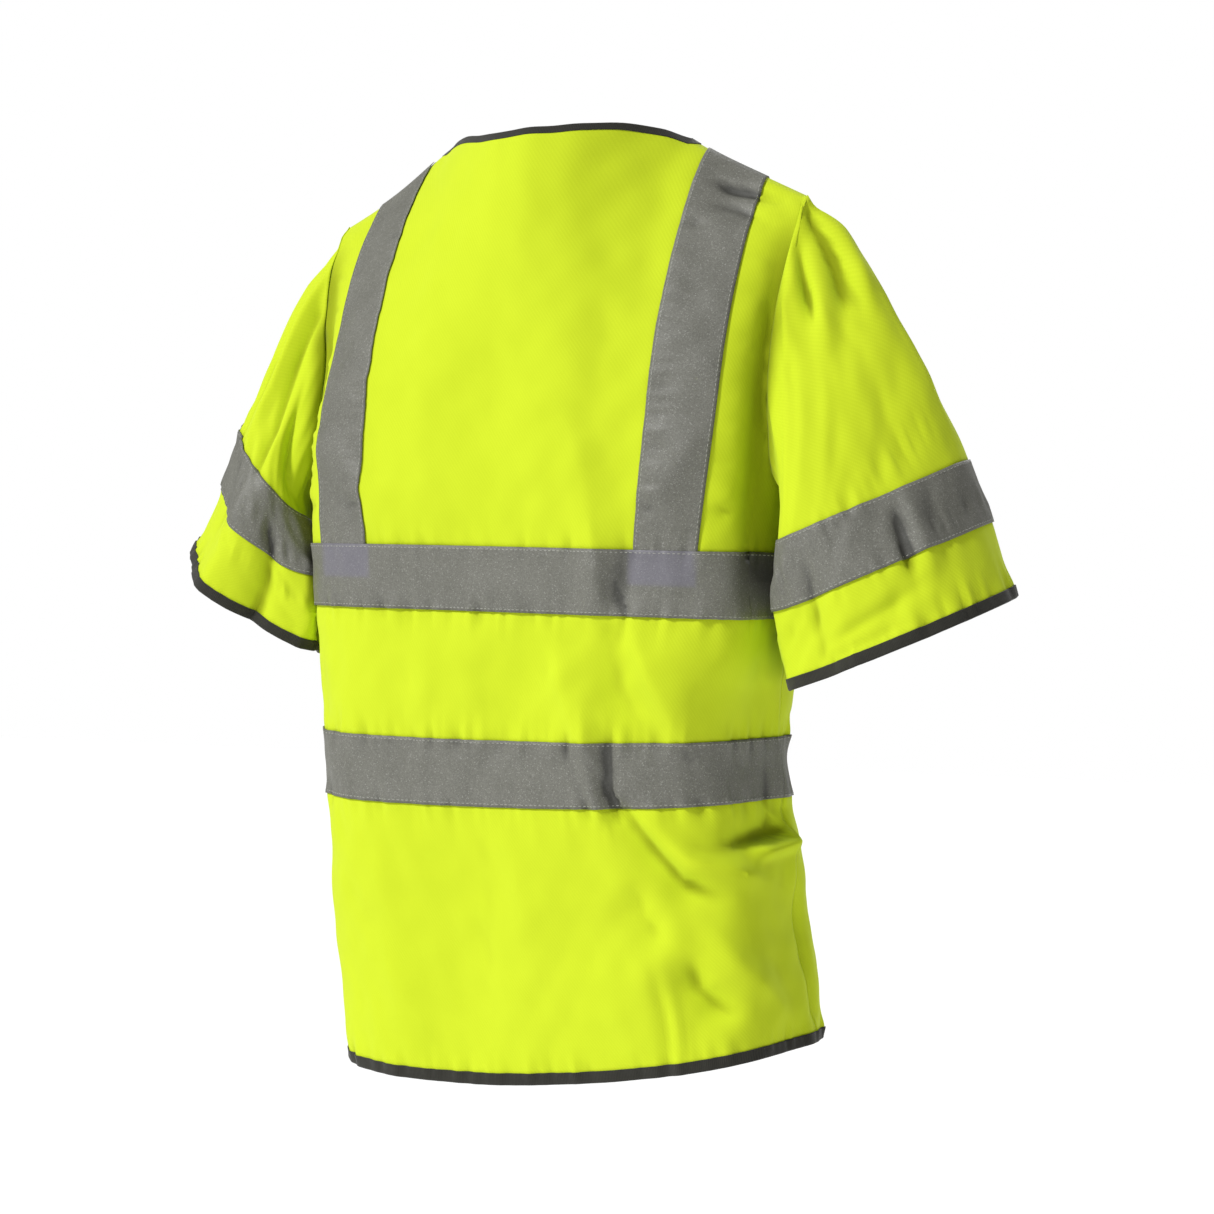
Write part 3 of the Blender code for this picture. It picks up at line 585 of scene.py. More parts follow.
def sleeve_surface(side: Side, turn: Array, share: Array) -> Array:
    """Points of a sleeve without its own folds: turn 0 runs down from the shoulder tip.

    Each line from the armhole to the cuff is a curve that leaves along the cap's slope and arrives
    along the cuff's axis. Behind the armhole it laps over the body, and inside it rests on its side.
    """
    turn, share = np.broadcast_arrays(np.mod(turn, 2 * math.pi), share)
    half = np.minimum(turn, 2 * math.pi - turn) / 2
    lap_in, lap_back = side.lap
    girth = armhole_girth(half)
    lapped = CHEST_HALF_WIDTH * sideways(girth) - lap_in * np.abs(np.sin(turn)) ** 0.7
    girth = np.where(turn <= math.pi, back_girth(lapped), math.pi - girth)
    start = body_point(side.value * girth, armhole_height(half), np.full_like(half, 2 * FABRIC))
    start[..., 0] *= side.value
    out, up, degrees, drop = side.cuff
    tilt = math.radians(degrees)
    axis = np.array([math.cos(tilt), 0.0, math.sin(tilt)])
    centre = np.array(CUFF_CENTRE) + (out, 0.0, up)
    end = centre + axis * (CUFF_HALF_LENGTH * np.cos(turn))[..., None]
    end[..., 1] += CUFF_HALF_DEPTH * np.sin(turn)
    end[..., 2] -= drop * np.sin(turn)
    length = np.linalg.norm(end - start, axis=-1, keepdims=True)
    fullness = CAP_FULLNESS * np.sin(turn)
    ahead, down = np.full_like(turn, math.cos(CAP_SLOPE)), np.full_like(turn, math.sin(CAP_SLOPE))
    leave = np.stack([ahead, fullness, down], axis=-1)
    arrive = np.array([math.sin(tilt), 0.0, -math.cos(tilt)])
    square, cube = (share**2)[..., None], (share**3)[..., None]
    point = start * (2 * cube - 3 * square + 1) + leave * length * (cube - 2 * square + share[..., None])
    point = point + end * (3 * square - 2 * cube) + arrive * length * (cube - square)
    lap = 6.75 * share * (1 - share) ** 2 * np.exp(-(((turn - LAP_TURN) / LAP_SPREAD) ** 2))
    point += lap[..., None] * np.array([-LAP_OVER, lap_back, 0.0])
    point[..., 0] += np.maximum(body_side(side, point) - point[..., 0], 0) * smooth((share - 0.3) / 0.4)
    point[..., 0] *= side.value
    return point


def sleeve_relief(side: Side, turn: Array, share: Array) -> Array:
    """Height of a sleeve's own folds."""
    degrees = np.degrees(np.mod(turn + math.pi, 2 * math.pi) - math.pi)
    a, b = degrees * TURN_METRES, share * SHARE_METRES
    across, round_it = SLEEVE_RADIUS * np.cos(turn), SLEEVE_RADIUS * np.sin(turn)
    shift = side.value * 0.4  # so that the two sleeves differ
    swell = SWELL.height(across + shift, round_it + b)
    rumple = RUMPLE.height(across + b, round_it + shift)
    total = SWELL_RISE * swell + RUMPLE_RISE * rumple
    for fold in (*SLEEVE_FOLDS[side], *FRONT_SLEEVE_FOLDS):
        total += fold.height(a, b)
    for up in (SLEEVE_TAPE_UP, SLEEVE_TAPE_UP + TAPE_WIDTH, BINDING_WIDTH):
        line = SHARE_METRES - up
        wave = PUCKER.height(across * 1.1 + shift, round_it * 1.1 + up * 7)
        total += 0.0009 * wave * close_to(b - line, 0.010)
    return total * smooth((share + 0.01) / 0.06)


def sleeve_length(side: Side, turn: Array) -> Array:
    """Length of a sleeve's cloth from the armhole to the cuff."""
    points = [sleeve_surface(side, turn, np.full_like(turn, i / 12)) for i in range(13)]
    return sum(np.linalg.norm(b - a, axis=-1) for a, b in itertools.pairwise(points))


def sleeve_point(side: Side, turn: Array, share: Array, outward: Array) -> Array:
    """Points of a folded sleeve, moved out of its cloth by distances."""
    turn, share, outward = np.broadcast_arrays(turn, share, outward)
    probe = np.clip(share, 0.002, 0.998)
    around = sleeve_surface(side, turn + 1e-3, probe) - sleeve_surface(side, turn - 1e-3, probe)
    down = sleeve_surface(side, turn, probe + 1e-3) - sleeve_surface(side, turn, probe - 1e-3)
    normal = unit(np.cross(down, around)) * side.value
    lift = sleeve_relief(side, turn, share) + outward
    return sleeve_surface(side, turn, share) + normal * lift[..., None]


@dataclass(frozen=True)
class Finish:
    """A surface's colours, as sRGB hex values, and how it takes the light."""

    name: str
    colour: str
    second: str
    roughness: float
    metallic: float = 0.0
    sheen: float = 0.0


CLOTH = Finish("hi_vis_cloth", "#d4e72c", "#b2cb0a", 0.82, sheen=0.04)
TAPE = Finish("reflective_tape", "#7c7c74", "#62625a", 0.55)
BINDING = Finish("edge_binding", "#2c2b22", "#17170f", 0.85, sheen=0.15)
THREAD = Finish("thread", "#b9bab2", "#8e8f86", 0.6)
ZIP_CLOTH = Finish("zip_tape_cloth", "#26261f", "#15150f", 0.85)
COIL = Finish("zip_coil_plastic", "#23231f", "#15150f", 0.38)
METAL = Finish("zip_metal", "#a9a9a4", "#7d7d78", 0.32, metallic=1.0)
LABEL = Finish("label_cloth", "#e9e9e3", "#d0d0c8", 0.8)


def linear(value: str) -> tuple[float, float, float, float]:
    """Linear colour of an sRGB hex value.

    Args:
        value: the colour, as #rrggbb.

    Returns:
        Its linear red, green and blue, and 1.
    """
    parts = [int(value[i : i + 2], 16) / 255 for i in (1, 3, 5)]
    red, green, blue = (p / 12.92 if p <= 0.04045 else ((p + 0.055) / 1.055) ** 2.4 for p in parts)
    return red, green, blue, 1.0


class Shader:
    """Builds one material's nodes around its Principled shader."""

    def __init__(self, finish: Finish) -> None:
        self.material = bpy.data.materials.new(finish.name)
        self.material.use_nodes = True
        self.tree = self.material.node_tree
        self.surface = self.tree.nodes["Principled BSDF"]
        self.surface.inputs["Roughness"].default_value = finish.roughness
        self.surface.inputs["Metallic"].default_value = finish.metallic
        self.surface.inputs["Sheen Weight"].default_value = finish.sheen
        self.surface.inputs["Sheen Roughness"].default_value = 0.5

    def add(self, kind: str, settings: dict[str, object] | None = None, **inputs: object) -> bpy.types.Node:
        """Add a node, with settings on it and values or links on its inputs."""
        node = self.tree.nodes.new(kind)
        for key, value in (settings or {}).items():
            setattr(node, key, value)
        for key, value in inputs.items():
            socket = node.inputs[int(key[1:])] if key[0] == "i" and key[1:].isdigit() else node.inputs[key]
            if isinstance(value, bpy.types.NodeSocket):
                self.tree.links.new(value, socket)
            else:
                socket.default_value = value
        return node

    def link(self, source: bpy.types.NodeSocket, name: str) -> None:
        """Link an output to one of the surface's inputs."""
        self.tree.links.new(source, self.surface.inputs[name])

    def weave_coordinates(self) -> bpy.types.NodeSocket:
        """The cloth's own coordinates, in metres."""
        return self.add("ShaderNodeUVMap", {"uv_map": "weave"}).outputs["UV"]

    def object_coordinates(self) -> bpy.types.NodeSocket:
        """Place in the object, in metres."""
        return self.add("ShaderNodeTexCoord").outputs["Object"]

    def noise(self, vector: bpy.types.NodeSocket, size: float, detail: float = 2.0) -> bpy.types.NodeSocket:
        """Noise whose features are of a size, in metres."""
        return self.add("ShaderNodeTexNoise", Vector=vector, Scale=1 / size, Detail=detail).outputs["Fac"]

    def waves(self, vector: bpy.types.NodeSocket, pitch: float, angle: float) -> bpy.types.NodeSocket:
        """Parallel ridges of a pitch, in metres, at an angle."""
        turned = self.add("ShaderNodeMapping", Vector=vector, Rotation=(0.0, 0.0, math.radians(angle)))
        bands = {"wave_type": "BANDS", "bands_direction": "X"}
        scale = WAVE_SCALE / pitch
        return self.add("ShaderNodeTexWave", bands, Vector=turned.outputs[0], Scale=scale).outputs["Fac"]

    def math(self, operation: str, first: object, second: object = 0.0) -> bpy.types.NodeSocket:
        """One step of arithmetic."""
        return self.add("ShaderNodeMath", {"operation": operation}, i0=first, i1=second).outputs[0]

    def ramp(self, value: bpy.types.NodeSocket, low: float, high: float) -> bpy.types.NodeSocket:
        """A value spread to run from 0 at low to 1 at high."""
        ends = {"From Min": low, "From Max": high}
        return self.add("ShaderNodeMapRange", {"clamp": True}, Value=value, **ends).outputs[0]

    def attribute(self, name: str) -> bpy.types.NodeSocket:
        """One of the values that are marked on the piece's points."""
        return self.add("ShaderNodeAttribute", {"attribute_name": name}).outputs["Fac"]

    def mix(self, factor: object, first: object, second: object) -> bpy.types.NodeSocket:
        """A mix of two colours."""
        node = self.add("ShaderNodeMix", {"data_type": "RGBA"}, i0=factor, i6=first, i7=second)
        return node.outputs[2]

    def bump(self, height: bpy.types.NodeSocket, distance: float, strength: float) -> None:
        """Bump the surface by a height field."""
        node = self.add("ShaderNodeBump", Height=height, Distance=distance, Strength=strength)
        self.link(node.outputs[0], "Normal")


def cloth_material(finish: Finish) -> bpy.types.Material:
    """Fluorescent polyester knit: a fine twill, a faint mottle and olive painted shade in its hollows and
    beside the sleeves.
    """
    make = Shader(finish)
    weave = make.weave_coordinates()
    rib = make.waves(weave, 0.0021, 35)
    cross = make.waves(weave, 0.0017, -55)
    knit = make.math("MULTIPLY", rib, make.math("ADD", make.math("MULTIPLY", cross, 0.5), 0.5))
    mottle = make.noise(make.object_coordinates(), 0.045, 3.0)
    pale = make.math("MULTIPLY", make.ramp(mottle, 0.3, 0.8), 0.10)
    shade = make.math("ADD", make.math("MULTIPLY", knit, -0.14), make.math("ADD", pale, 0.24))
    tone = make.mix(shade, linear(finish.colour), linear(finish.second))
    # painted shade: the colour is mixed toward olive by the per-point shade mark, deepest in hollows and
    # beside the sleeves
    hollow = make.math("MULTIPLY", make.attribute("hollow"), 0.85)
    make.link(make.mix(hollow, tone, linear("#7e8800")), "Base Color")
    make.surface.inputs["Specular IOR Level"].default_value = 0.15
    make.bump(knit, 0.0002, 0.25)
    return make.material


def tape_material(finish: Finish) -> bpy.types.Material:
    """Grey retroreflective tape: packed glass beads with painted glints, faint rubbing and painted shade in
    its creases.

    It has a lilac patch where the end of another tape lies under it.
    """
    make = Shader(finish)
    place = make.object_coordinates()
    beads = make.add("ShaderNodeTexVoronoi", Vector=place, Scale=1 / 0.0007)
    grain = make.add("ShaderNodeSeparateColor", i0=beads.outputs["Color"]).outputs[0]
    worn = make.noise(place, 0.030, 4.0)
    tone = make.math("ADD", make.math("MULTIPLY", grain, 0.55), make.math("MULTIPLY", worn, 0.45))
    base = make.mix(make.ramp(tone, 0.15, 0.85), linear(finish.second), linear(finish.colour))
    # painted glints: a few bead cells are lightened as though they caught the light
    painted_glint = make.ramp(grain, 0.93, 0.99)
    bright = make.mix(make.math("MULTIPLY", painted_glint, 0.22), base, linear("#c8c8c4"))
    lilac = make.math("MULTIPLY", make.attribute("under"), 0.45)
    patched = make.mix(lilac, bright, linear("#77748a"))
    # painted shade: the tape is darkened where the per-point shade mark finds a crease
    crease = make.math("MULTIPLY", make.ramp(make.attribute("hollow"), 0.0, 0.5), 0.75)
    make.link(make.mix(crease, patched, linear("#2f2f2c")), "Base Color")
    make.link(make.math("ADD", make.math("MULTIPLY", worn, 0.25), finish.roughness - 0.12), "Roughness")
    make.bump(grain, 0.00006, 0.6)
    return make.material


def binding_material(finish: Finish) -> bpy.types.Material:
    """Woven polyester, for bindings, the zip's tape and the label: fine ribs across its width."""
    make = Shader(finish)
    weave = make.weave_coordinates()
    rib = make.waves(weave, 0.0011, 0)
    fuzz = make.noise(make.object_coordinates(), 0.0016)
    tone = make.math("ADD", make.math("MULTIPLY", rib, 0.5), make.math("MULTIPLY", fuzz, 0.5))
    make.link(make.mix(tone, linear(finish.second), linear(finish.colour)), "Base Color")
    make.bump(rib, 0.0002, 0.6)
    return make.material


def grained_material(finish: Finish, size: float, distance: float) -> bpy.types.Material:
    """Polyester thread, moulded nylon or plated metal: two tones in a fine grain."""
    make = Shader(finish)
    grain = make.noise(make.object_coordinates(), size, 4.0)
    make.link(make.mix(grain, linear(finish.second), linear(finish.colour)), "Base Color")
    rough = make.math("ADD", make.math("MULTIPLY", grain, 0.2), finish.roughness - 0.1)
    make.link(rough, "Roughness")
    make.bump(grain, distance, 0.5)
    return make.material


class Wardrobe:
    """The materials, each made once."""

    def __init__(self) -> None:
        self.cloth = cloth_material(CLOTH)
        self.tape = tape_material(TAPE)
        self.binding = binding_material(BINDING)
        self.thread = grained_material(THREAD, 0.0006, 0.0001)
        self.zip_cloth = binding_material(ZIP_CLOTH)
        self.coil = grained_material(COIL, 0.0012, 0.00005)
        self.metal = grained_material(METAL, 0.0008, 0.00002)
        self.label = binding_material(LABEL)


@dataclass(frozen=True)
class Blank:
    """A flat piece of cloth, as rows and columns of points before it is sewn.

    Args:
        name: the piece's name.
        place: gives the points for arrays of column and row shares.
        columns: number of columns of cells.
        rows: number of rows of cells.
        weave: gives the cloth's own coordinates, in metres, for the same arrays.
        marks: per-point values that the material reads.
        thickness: of the cloth, added out of the points, or into the cloth if negative.
        closed: whether the last column is sewn to the first.
    """

    name: str
    place: Callable[[Array, Array], Array]
    columns: int
    rows: int
    weave: Callable[[Array, Array], Array]
    marks: dict[str, Callable[[Array, Array], Array]]
    thickness: float
    closed: bool = False

    def build(self, material: bpy.types.Material) -> bpy.types.Object:
        """Lay the blank out, then move every point to its place."""
        bm = bmesh.new()
        bmesh.ops.create_grid(bm, x_segments=self.columns, y_segments=self.rows, size=0.5)
        mesh = bpy.data.meshes.new(f"worn_{self.name}")
        bm.to_mesh(mesh)
        bm.free()
        flat = np.empty(len(mesh.vertices) * 3)
        mesh.vertices.foreach_get("co", flat)
        flat = flat.reshape(-1, 3) + 0.5
        across, along = flat[:, 0], flat[:, 1]
        points = self.place(across, along)
        mesh.vertices.foreach_set("co", points.astype(np.float32).ravel())
        corner = np.empty(len(mesh.loops), dtype=np.int32)
        mesh.loops.foreach_get("vertex_index", corner)
        weave = self.weave(across, along)[corner]
        mesh.uv_layers.new(name="weave").data.foreach_set("uv", weave.astype(np.float32).ravel())
        for name, value in self.marks.items():
            mark = mesh.attributes.new(name, "FLOAT", "POINT")
            mark.data.foreach_set("value", value(across, along).astype(np.float32))
        if self.closed:
            bm = bmesh.new()
            bm.from_mesh(mesh)
            bmesh.ops.remove_doubles(bm, verts=bm.verts, dist=1e-6)
            bm.to_mesh(mesh)
            bm.free()
        mesh.polygons.foreach_set("use_smooth", [True] * len(mesh.polygons))
        mesh.update()
        facing(mesh, points)
        obj = place_object(f"worn_{self.name}", mesh)
        mesh.materials.append(material)
        if self.thickness:
            shell = obj.modifiers.new("thickness", "SOLIDIFY")
            shell.thickness = abs(self.thickness)
            shell.offset = math.copysign(1.0, self.thickness)
        return obj


def place_object(name: str, data: bpy.types.ID) -> bpy.types.Object:
    """A new object in the scene."""
    obj = bpy.data.objects.new(name, data)
    bpy.context.scene.collection.objects.link(obj)
    return obj


def facing(mesh: bpy.types.Mesh, points: Array) -> None:
    """Turn a sheet's faces so that their normals point away from the wearer."""
    centres = np.empty(len(mesh.polygons) * 3)
    normals = np.empty(len(mesh.polygons) * 3)
    mesh.polygons.foreach_get("center", centres)
    mesh.polygons.foreach_get("normal", normals)
    centres, normals = centres.reshape(-1, 3), normals.reshape(-1, 3)
    middle = (points.max(axis=0) + points.min(axis=0)) / 2
    if abs(middle[0]) < BODY_REACH:
        middle = np.array([0.0, 0.0, middle[2]])
    if ((centres - middle)[:, :2] * normals[:, :2]).sum() < 0:
        mesh.flip_normals()


def column_girths(low: float, high: float) -> Array:
    """Girth angles of the columns of a piece that lies between two girth angles."""
    steps = round(SHOULDER_HALF_WIDTH / COLUMN)
    flat = back_girth(np.linspace(0, SHOULDER_HALF_WIDTH, steps + 1))
    hole = armhole_girth(np.linspace(0, math.pi / 2, 37)[1:])
    quarter = np.concatenate([flat, hole])
    half = np.concatenate([quarter, math.pi - quarter[-2::-1]])
    whole = np.concatenate([-half[:0:-1], half])
    inside = whole[(whole > low + 1e-6) & (whole < high - 1e-6)]
    return np.concatenate([[low], inside, [high]])


@dataclass(frozen=True)
class Strip:
    """A part of the body between two girth angles, and between two edges given as heights."""

    name: str
    girths: Array
    lower: Callable[[Array], Array]
    upper: Callable[[Array], Array]
    rows: int
    outward: float
    thickness: float
    sunk: bool = False
    covers_ends: bool = False

    def blank(self) -> Blank:
        """The strip as a blank."""
        last = len(self.girths) - 1

        def where(across: Array, along: Array) -> tuple[Array, Array]:
            girth = self.girths[np.rint(across * last).astype(int)]
            low = self.lower(girth)
            return girth, low + (self.upper(girth) - low) * along

        def place(across: Array, along: Array) -> Array:
            girth, z = where(across, along)
            outward = self.outward - (under_tape(girth, z) if self.sunk else 0.0)
            return body_point(girth, z, outward)

        def weave(across: Array, along: Array) -> Array:
            girth, z = where(across, along)
            return np.stack([GIRTH.of(girth), z], axis=-1)

        # the per-point painted shade that the materials read
        def hollow(across: Array, along: Array) -> Array:
            return body_hollow(*where(across, along))

        def under(across: Array, along: Array) -> Array:
            return brace_end(*where(across, along))

        marks = {"hollow": hollow}
        if self.covers_ends:
            marks["under"] = under
        return Blank(self.name, place, last, self.rows, weave, marks, self.thickness)


def band(value: Array, low: float, high: float, edge: float) -> Array:
    """1 well inside a range and 0 outside it, with soft edges inside the range."""
    return smooth((value - low) / edge) * smooth((high - value) / edge)


def under_tape(girth: Array, z: Array) -> Array:
    """How far the cloth is drawn in where a tape hides it."""
    upper = band(z, UPPER_TAPE_TOP - TAPE_WIDTH, UPPER_TAPE_TOP, SINK_EDGE)
    lower = band(z, LOWER_TAPE_TOP - TAPE_WIDTH, LOWER_TAPE_TOP, SINK_EDGE)
    x = CHEST_HALF_WIDTH * np.abs(sideways(girth))
    brace = band(x, BRACE_INNER, BRACE_INNER + TAPE_WIDTH, SINK_EDGE)
    brace = brace * smooth((z - UPPER_TAPE_TOP) / 0.004)
    hem = band(z, -HEM_DROP - 0.02, BINDING_WIDTH - HEM_DROP, 0.003)
    return TAPE_SINK * np.maximum(np.maximum(upper, lower), brace) + HEM_SINK * hem


def body_hollow(girth: Array, z: Array) -> Array:
    """Painted shade on the body's cloth, from 0 to 1: stronger where a place lies below the cloth around it,
    and in a band on the back beside each sleeve.
    """
    here = body_relief(girth, z)
    around = np.maximum(np.abs(GIRTH.of(girth + NUDGE) - GIRTH.of(girth)) / NUDGE, 0.05)
    step = np.minimum(HOLLOW_REACH / around, 0.15)
    aside = (body_relief(girth + step, z) + body_relief(girth - step, z)) / 2
    above = (body_relief(girth, z + HOLLOW_REACH) + body_relief(girth, z - HOLLOW_REACH)) / 2
    depth = smooth((np.maximum(aside, above) - here - HOLLOW_LEAST) / 0.0065)
    x = half_width(z) * np.abs(sideways(girth))
    # painted shade in a band on the back beside each sleeve
    beside_sleeve = np.exp(-(((x - 0.205) / 0.012) ** 2)) * band(z, -0.370, -0.060, 0.05)
    return np.maximum(depth, 0.9 * (beside_sleeve * (np.cos(girth) > 0)))


def brace_end(girth: Array, z: Array) -> Array:
    """Where a brace tape's end shows through the upper tape."""
    x = half_width(z) * np.abs(sideways(girth))
    inside = band(x, BRACE_INNER - 0.012, BRACE_INNER + TAPE_WIDTH - 0.008, 0.004)
    height = band(z, UPPER_TAPE_TOP - BRACE_TUCK, UPPER_TAPE_TOP + 0.02, 0.004)
    return inside * height * (np.cos(girth) > 0)


def level(z: float) -> Callable[[Array], Array]:
    """An edge at one height."""
    return lambda girth: np.full_like(girth, z)


def seam_edge(girth: Array) -> Array:
    """The body's upper edge, a hair below the seam."""
    return top_height(girth) - CLEARANCE


TAPE_LINES = (("upper", UPPER_TAPE_TOP, UPPER_TAPE_LIFT), ("lower", LOWER_TAPE_TOP, 0.0))
FRONT_GIRTH = math.pi - float(back_girth(ZIP_SLOT))
SPANS = {
    "back": (-math.pi / 2, math.pi / 2),
    "left_front": (math.pi / 2, FRONT_GIRTH),
    "right_front": (-FRONT_GIRTH, -math.pi / 2),
}


def body_strips() -> tuple[list[Strip], list[Strip]]:
    """The body's panels, and the tapes on them."""
    panels, tapes = [], []
    rows = round((HEM_DROP - 0.02) / ROW)
    tape_rows = round(TAPE_WIDTH / TAPE_ROW)
    for label, (low, high) in SPANS.items():
        girths = column_girths(low, high)
        name = f"{label}_panel"
        panels.append(Strip(name, girths, level(-HEM_DROP), seam_edge, rows, 0.0, -FABRIC, sunk=True))
        for height, top, lift in TAPE_LINES:
            name = f"{label}_{height}_tape"
            lower, upper = level(top - TAPE_WIDTH), level(top)
            out, over = TAPE_LIFT + lift, height == "upper"
            tapes.append(Strip(name, girths, lower, upper, tape_rows, out, TAPE_THICK, covers_ends=over))
    x = np.linspace(BRACE_INNER, BRACE_INNER + TAPE_WIDTH, 21)
    brace_rows = round(BRACE_LENGTH / TAPE_ROW)
    for side in Side:
        rear = np.sort(side.value * back_girth(x))
        front = np.sort(side.value * (math.pi - back_girth(x)))
        for label, girths in (("back", rear), ("front", front)):
            name = f"{side.label}_{label}_brace_tape"
            lower = level(UPPER_TAPE_TOP - BRACE_TUCK)
            tapes.append(Strip(name, girths, lower, seam_edge, brace_rows, TAPE_LIFT, TAPE_THICK))
    return panels, tapes


def folded_section(reach: Array) -> tuple[Array, Array]:
    """Section of a binding folded over an edge, from its inner end round to its outer end.

    Args:
        reach: shares of the way along the section.

    Returns:
        Distances in from the edge, and distances out of the cloth.
    """
    inner, outer = -FABRIC - 0.0001, FABRIC * 0.5 + 0.0001
    middle, radius = (inner + outer) / 2, (outer - inner) / 2
    flat = 0.42
    turn = math.pi * (np.clip(reach, flat, 1 - flat) - flat) / (1 - 2 * flat)
    along = np.where(reach < flat, BINDING_WIDTH * (1 - reach / flat), 0.0)
    along = np.where(reach > 1 - flat, BINDING_WIDTH * (reach - 1 + flat) / flat, along)
    return along - radius * np.sin(turn), middle - radius * np.cos(turn)


@dataclass(frozen=True)
class Edge:
    """A cloth edge that a binding is folded over: a place for each share of its length."""

    name: str
    columns: int
    place: Callable[[Array, Array, Array], Array]
    length: float
    closed: bool = False

    def blank(self) -> Blank:
        """The binding as a blank."""

        def place(across: Array, along: Array) -> Array:
            return self.place(across, *folded_section(along))

        def weave(across: Array, along: Array) -> Array:
            return np.stack([across * self.length, along * 2.4 * BINDING_WIDTH], axis=-1)

        rows = BINDING_ROWS
        return Blank(self.name, place, self.columns, rows, weave, {}, BINDING_THICK, self.closed)


def hem_edge() -> Edge:
    """The body's lower edge, from one side of the zip to the other."""
    girths = column_girths(-FRONT_GIRTH, FRONT_GIRTH)
    last = len(girths) - 1

    def place(across: Array, along: Array, outward: Array) -> Array:
        girth = girths[np.rint(across * last).astype(int)]
        return body_point(girth, along - HEM_DROP, outward)

    return Edge("hem_binding", last, place, 2 * GIRTH.whole)


def neck_edge() -> Edge:
    """The neck edge: up one front, round the back and down the other front."""
    shoulder = NECK_HALF_WIDTH - 0.0005
    rear = back_girth(np.linspace(0, shoulder, 34))
    front = math.pi - back_girth(np.linspace(shoulder, ZIP_SLOT, 60))
    half = np.concatenate([rear, [np.nan], front])  # no angle stands for the shoulder ridge
    girths = np.concatenate([-half[:0:-1], half])
    signs = np.concatenate([-np.ones(len(half) - 1), np.ones(len(half))])
    last = len(girths) - 1

    def drop(girth: Array) -> Array:
        ahead = np.sign(girth) * (np.abs(girth) + NUDGE)
        run = body_surface(ahead, top_height(ahead)) - body_surface(girth, top_height(girth))
        flat = np.maximum(np.hypot(run[..., 0], run[..., 1]), 1e-9)
        steep = np.linalg.norm(run, axis=-1) / flat
        return NECK_BINDING_SHOWN * np.minimum(np.where(np.abs(girth) < 1e-6, 1.0, steep), 2.0)

    def place(across: Array, along: Array, outward: Array) -> Array:
        index = np.rint(across * last).astype(int)
        ridge = np.isnan(girths[index])
        girth = np.where(ridge, 0.3, girths[index])  # any angle will do at the ridge
        edge = top_height(girth) - CLEARANCE
        point = body_point(girth, edge - drop(girth) * along / BINDING_WIDTH, outward)
        x = NECK_HALF_WIDTH + along
        top = np.stack([signs[index] * x, np.zeros_like(x), ridge_height(x) + outward * 1.3], axis=-1)
        return np.where(ridge[:, None], lean(top), point)

    return Edge("neck_binding", last, place, NECK_ROUND)


def cuff_edge(side: Side) -> Edge:
    """A sleeve's cuff."""

    def place(across: Array, along: Array, outward: Array) -> Array:
        turn = across * 2 * math.pi
        return sleeve_point(side, turn, 1 - along / sleeve_length(side, turn), outward)

    return Edge(f"{side.label}_cuff_binding", 150, place, SLEEVE_GIRTH, closed=True)


def sleeve_hollow(side: Side, turn: Array, share: Array) -> Array:
    """Painted shade on a sleeve, from 0 to 1: stronger where a place lies below the cloth to its sides."""
    step = math.radians(HOLLOW_REACH / TURN_METRES)
    aside = (sleeve_relief(side, turn + step, share) + sleeve_relief(side, turn - step, share)) / 2
    return smooth((aside - sleeve_relief(side, turn, share) - HOLLOW_LEAST) / 0.0055)


def sleeve_blank(side: Side) -> Blank:
    """A sleeve's cloth, from the armhole to the cuff."""

    def place(across: Array, along: Array) -> Array:
        turn, share = across * 2 * math.pi, along
        up = (1 - share) * sleeve_length(side, turn)
        sunk = TAPE_SINK * band(up, SLEEVE_TAPE_UP, SLEEVE_TAPE_UP + TAPE_WIDTH, SINK_EDGE)
        return sleeve_point(side, turn, share, -sunk)

    def weave(across: Array, along: Array) -> Array:
        return np.stack([across * SLEEVE_GIRTH, -along * SHARE_METRES], axis=-1)

    # painted shade for the sleeve's cloth: in its hollows, and where it laps over the body
    def hollow(across: Array, along: Array) -> Array:
        turn = across * 2 * math.pi
        # painted shade: where it laps over the body at the back, the cloth gets as much painted shade as in
        # its deepest hollows
        seam = smooth((0.10 - along) / 0.10) * band(np.mod(turn, 2 * math.pi), 0.5, 3.0, 0.5)
        return sleeve_hollow(side, turn, along) * (1 - seam) + seam

    name, marks = f"{side.label}_sleeve", {"hollow": hollow}
    return Blank(name, place, SLEEVE_COLUMNS, 84, weave, marks, -FABRIC, closed=True)


def sleeve_tape_blank(side: Side) -> Blank:
    """The ring of tape on a sleeve."""

    def where(across: Array, along: Array) -> tuple[Array, Array]:
        turn = across * 2 * math.pi
        return turn, 1 - (SLEEVE_TAPE_UP + TAPE_WIDTH * along) / sleeve_length(side, turn)

    def place(across: Array, along: Array) -> Array:
        return sleeve_point(side, *where(across, along), TAPE_LIFT)

    def weave(across: Array, along: Array) -> Array:
        return np.stack([across * SLEEVE_GIRTH, along * TAPE_WIDTH], axis=-1)

    # painted shade for the sleeve's tape, in the sleeve's hollows
    def hollow(across: Array, along: Array) -> Array:
        return sleeve_hollow(side, *where(across, along))

    name, marks = f"{side.label}_sleeve_tape", {"hollow": hollow}
    return Blank(name, place, SLEEVE_COLUMNS, 22, weave, marks, TAPE_THICK, closed=True)


Template = tuple[Array, list[tuple[int, ...]]]


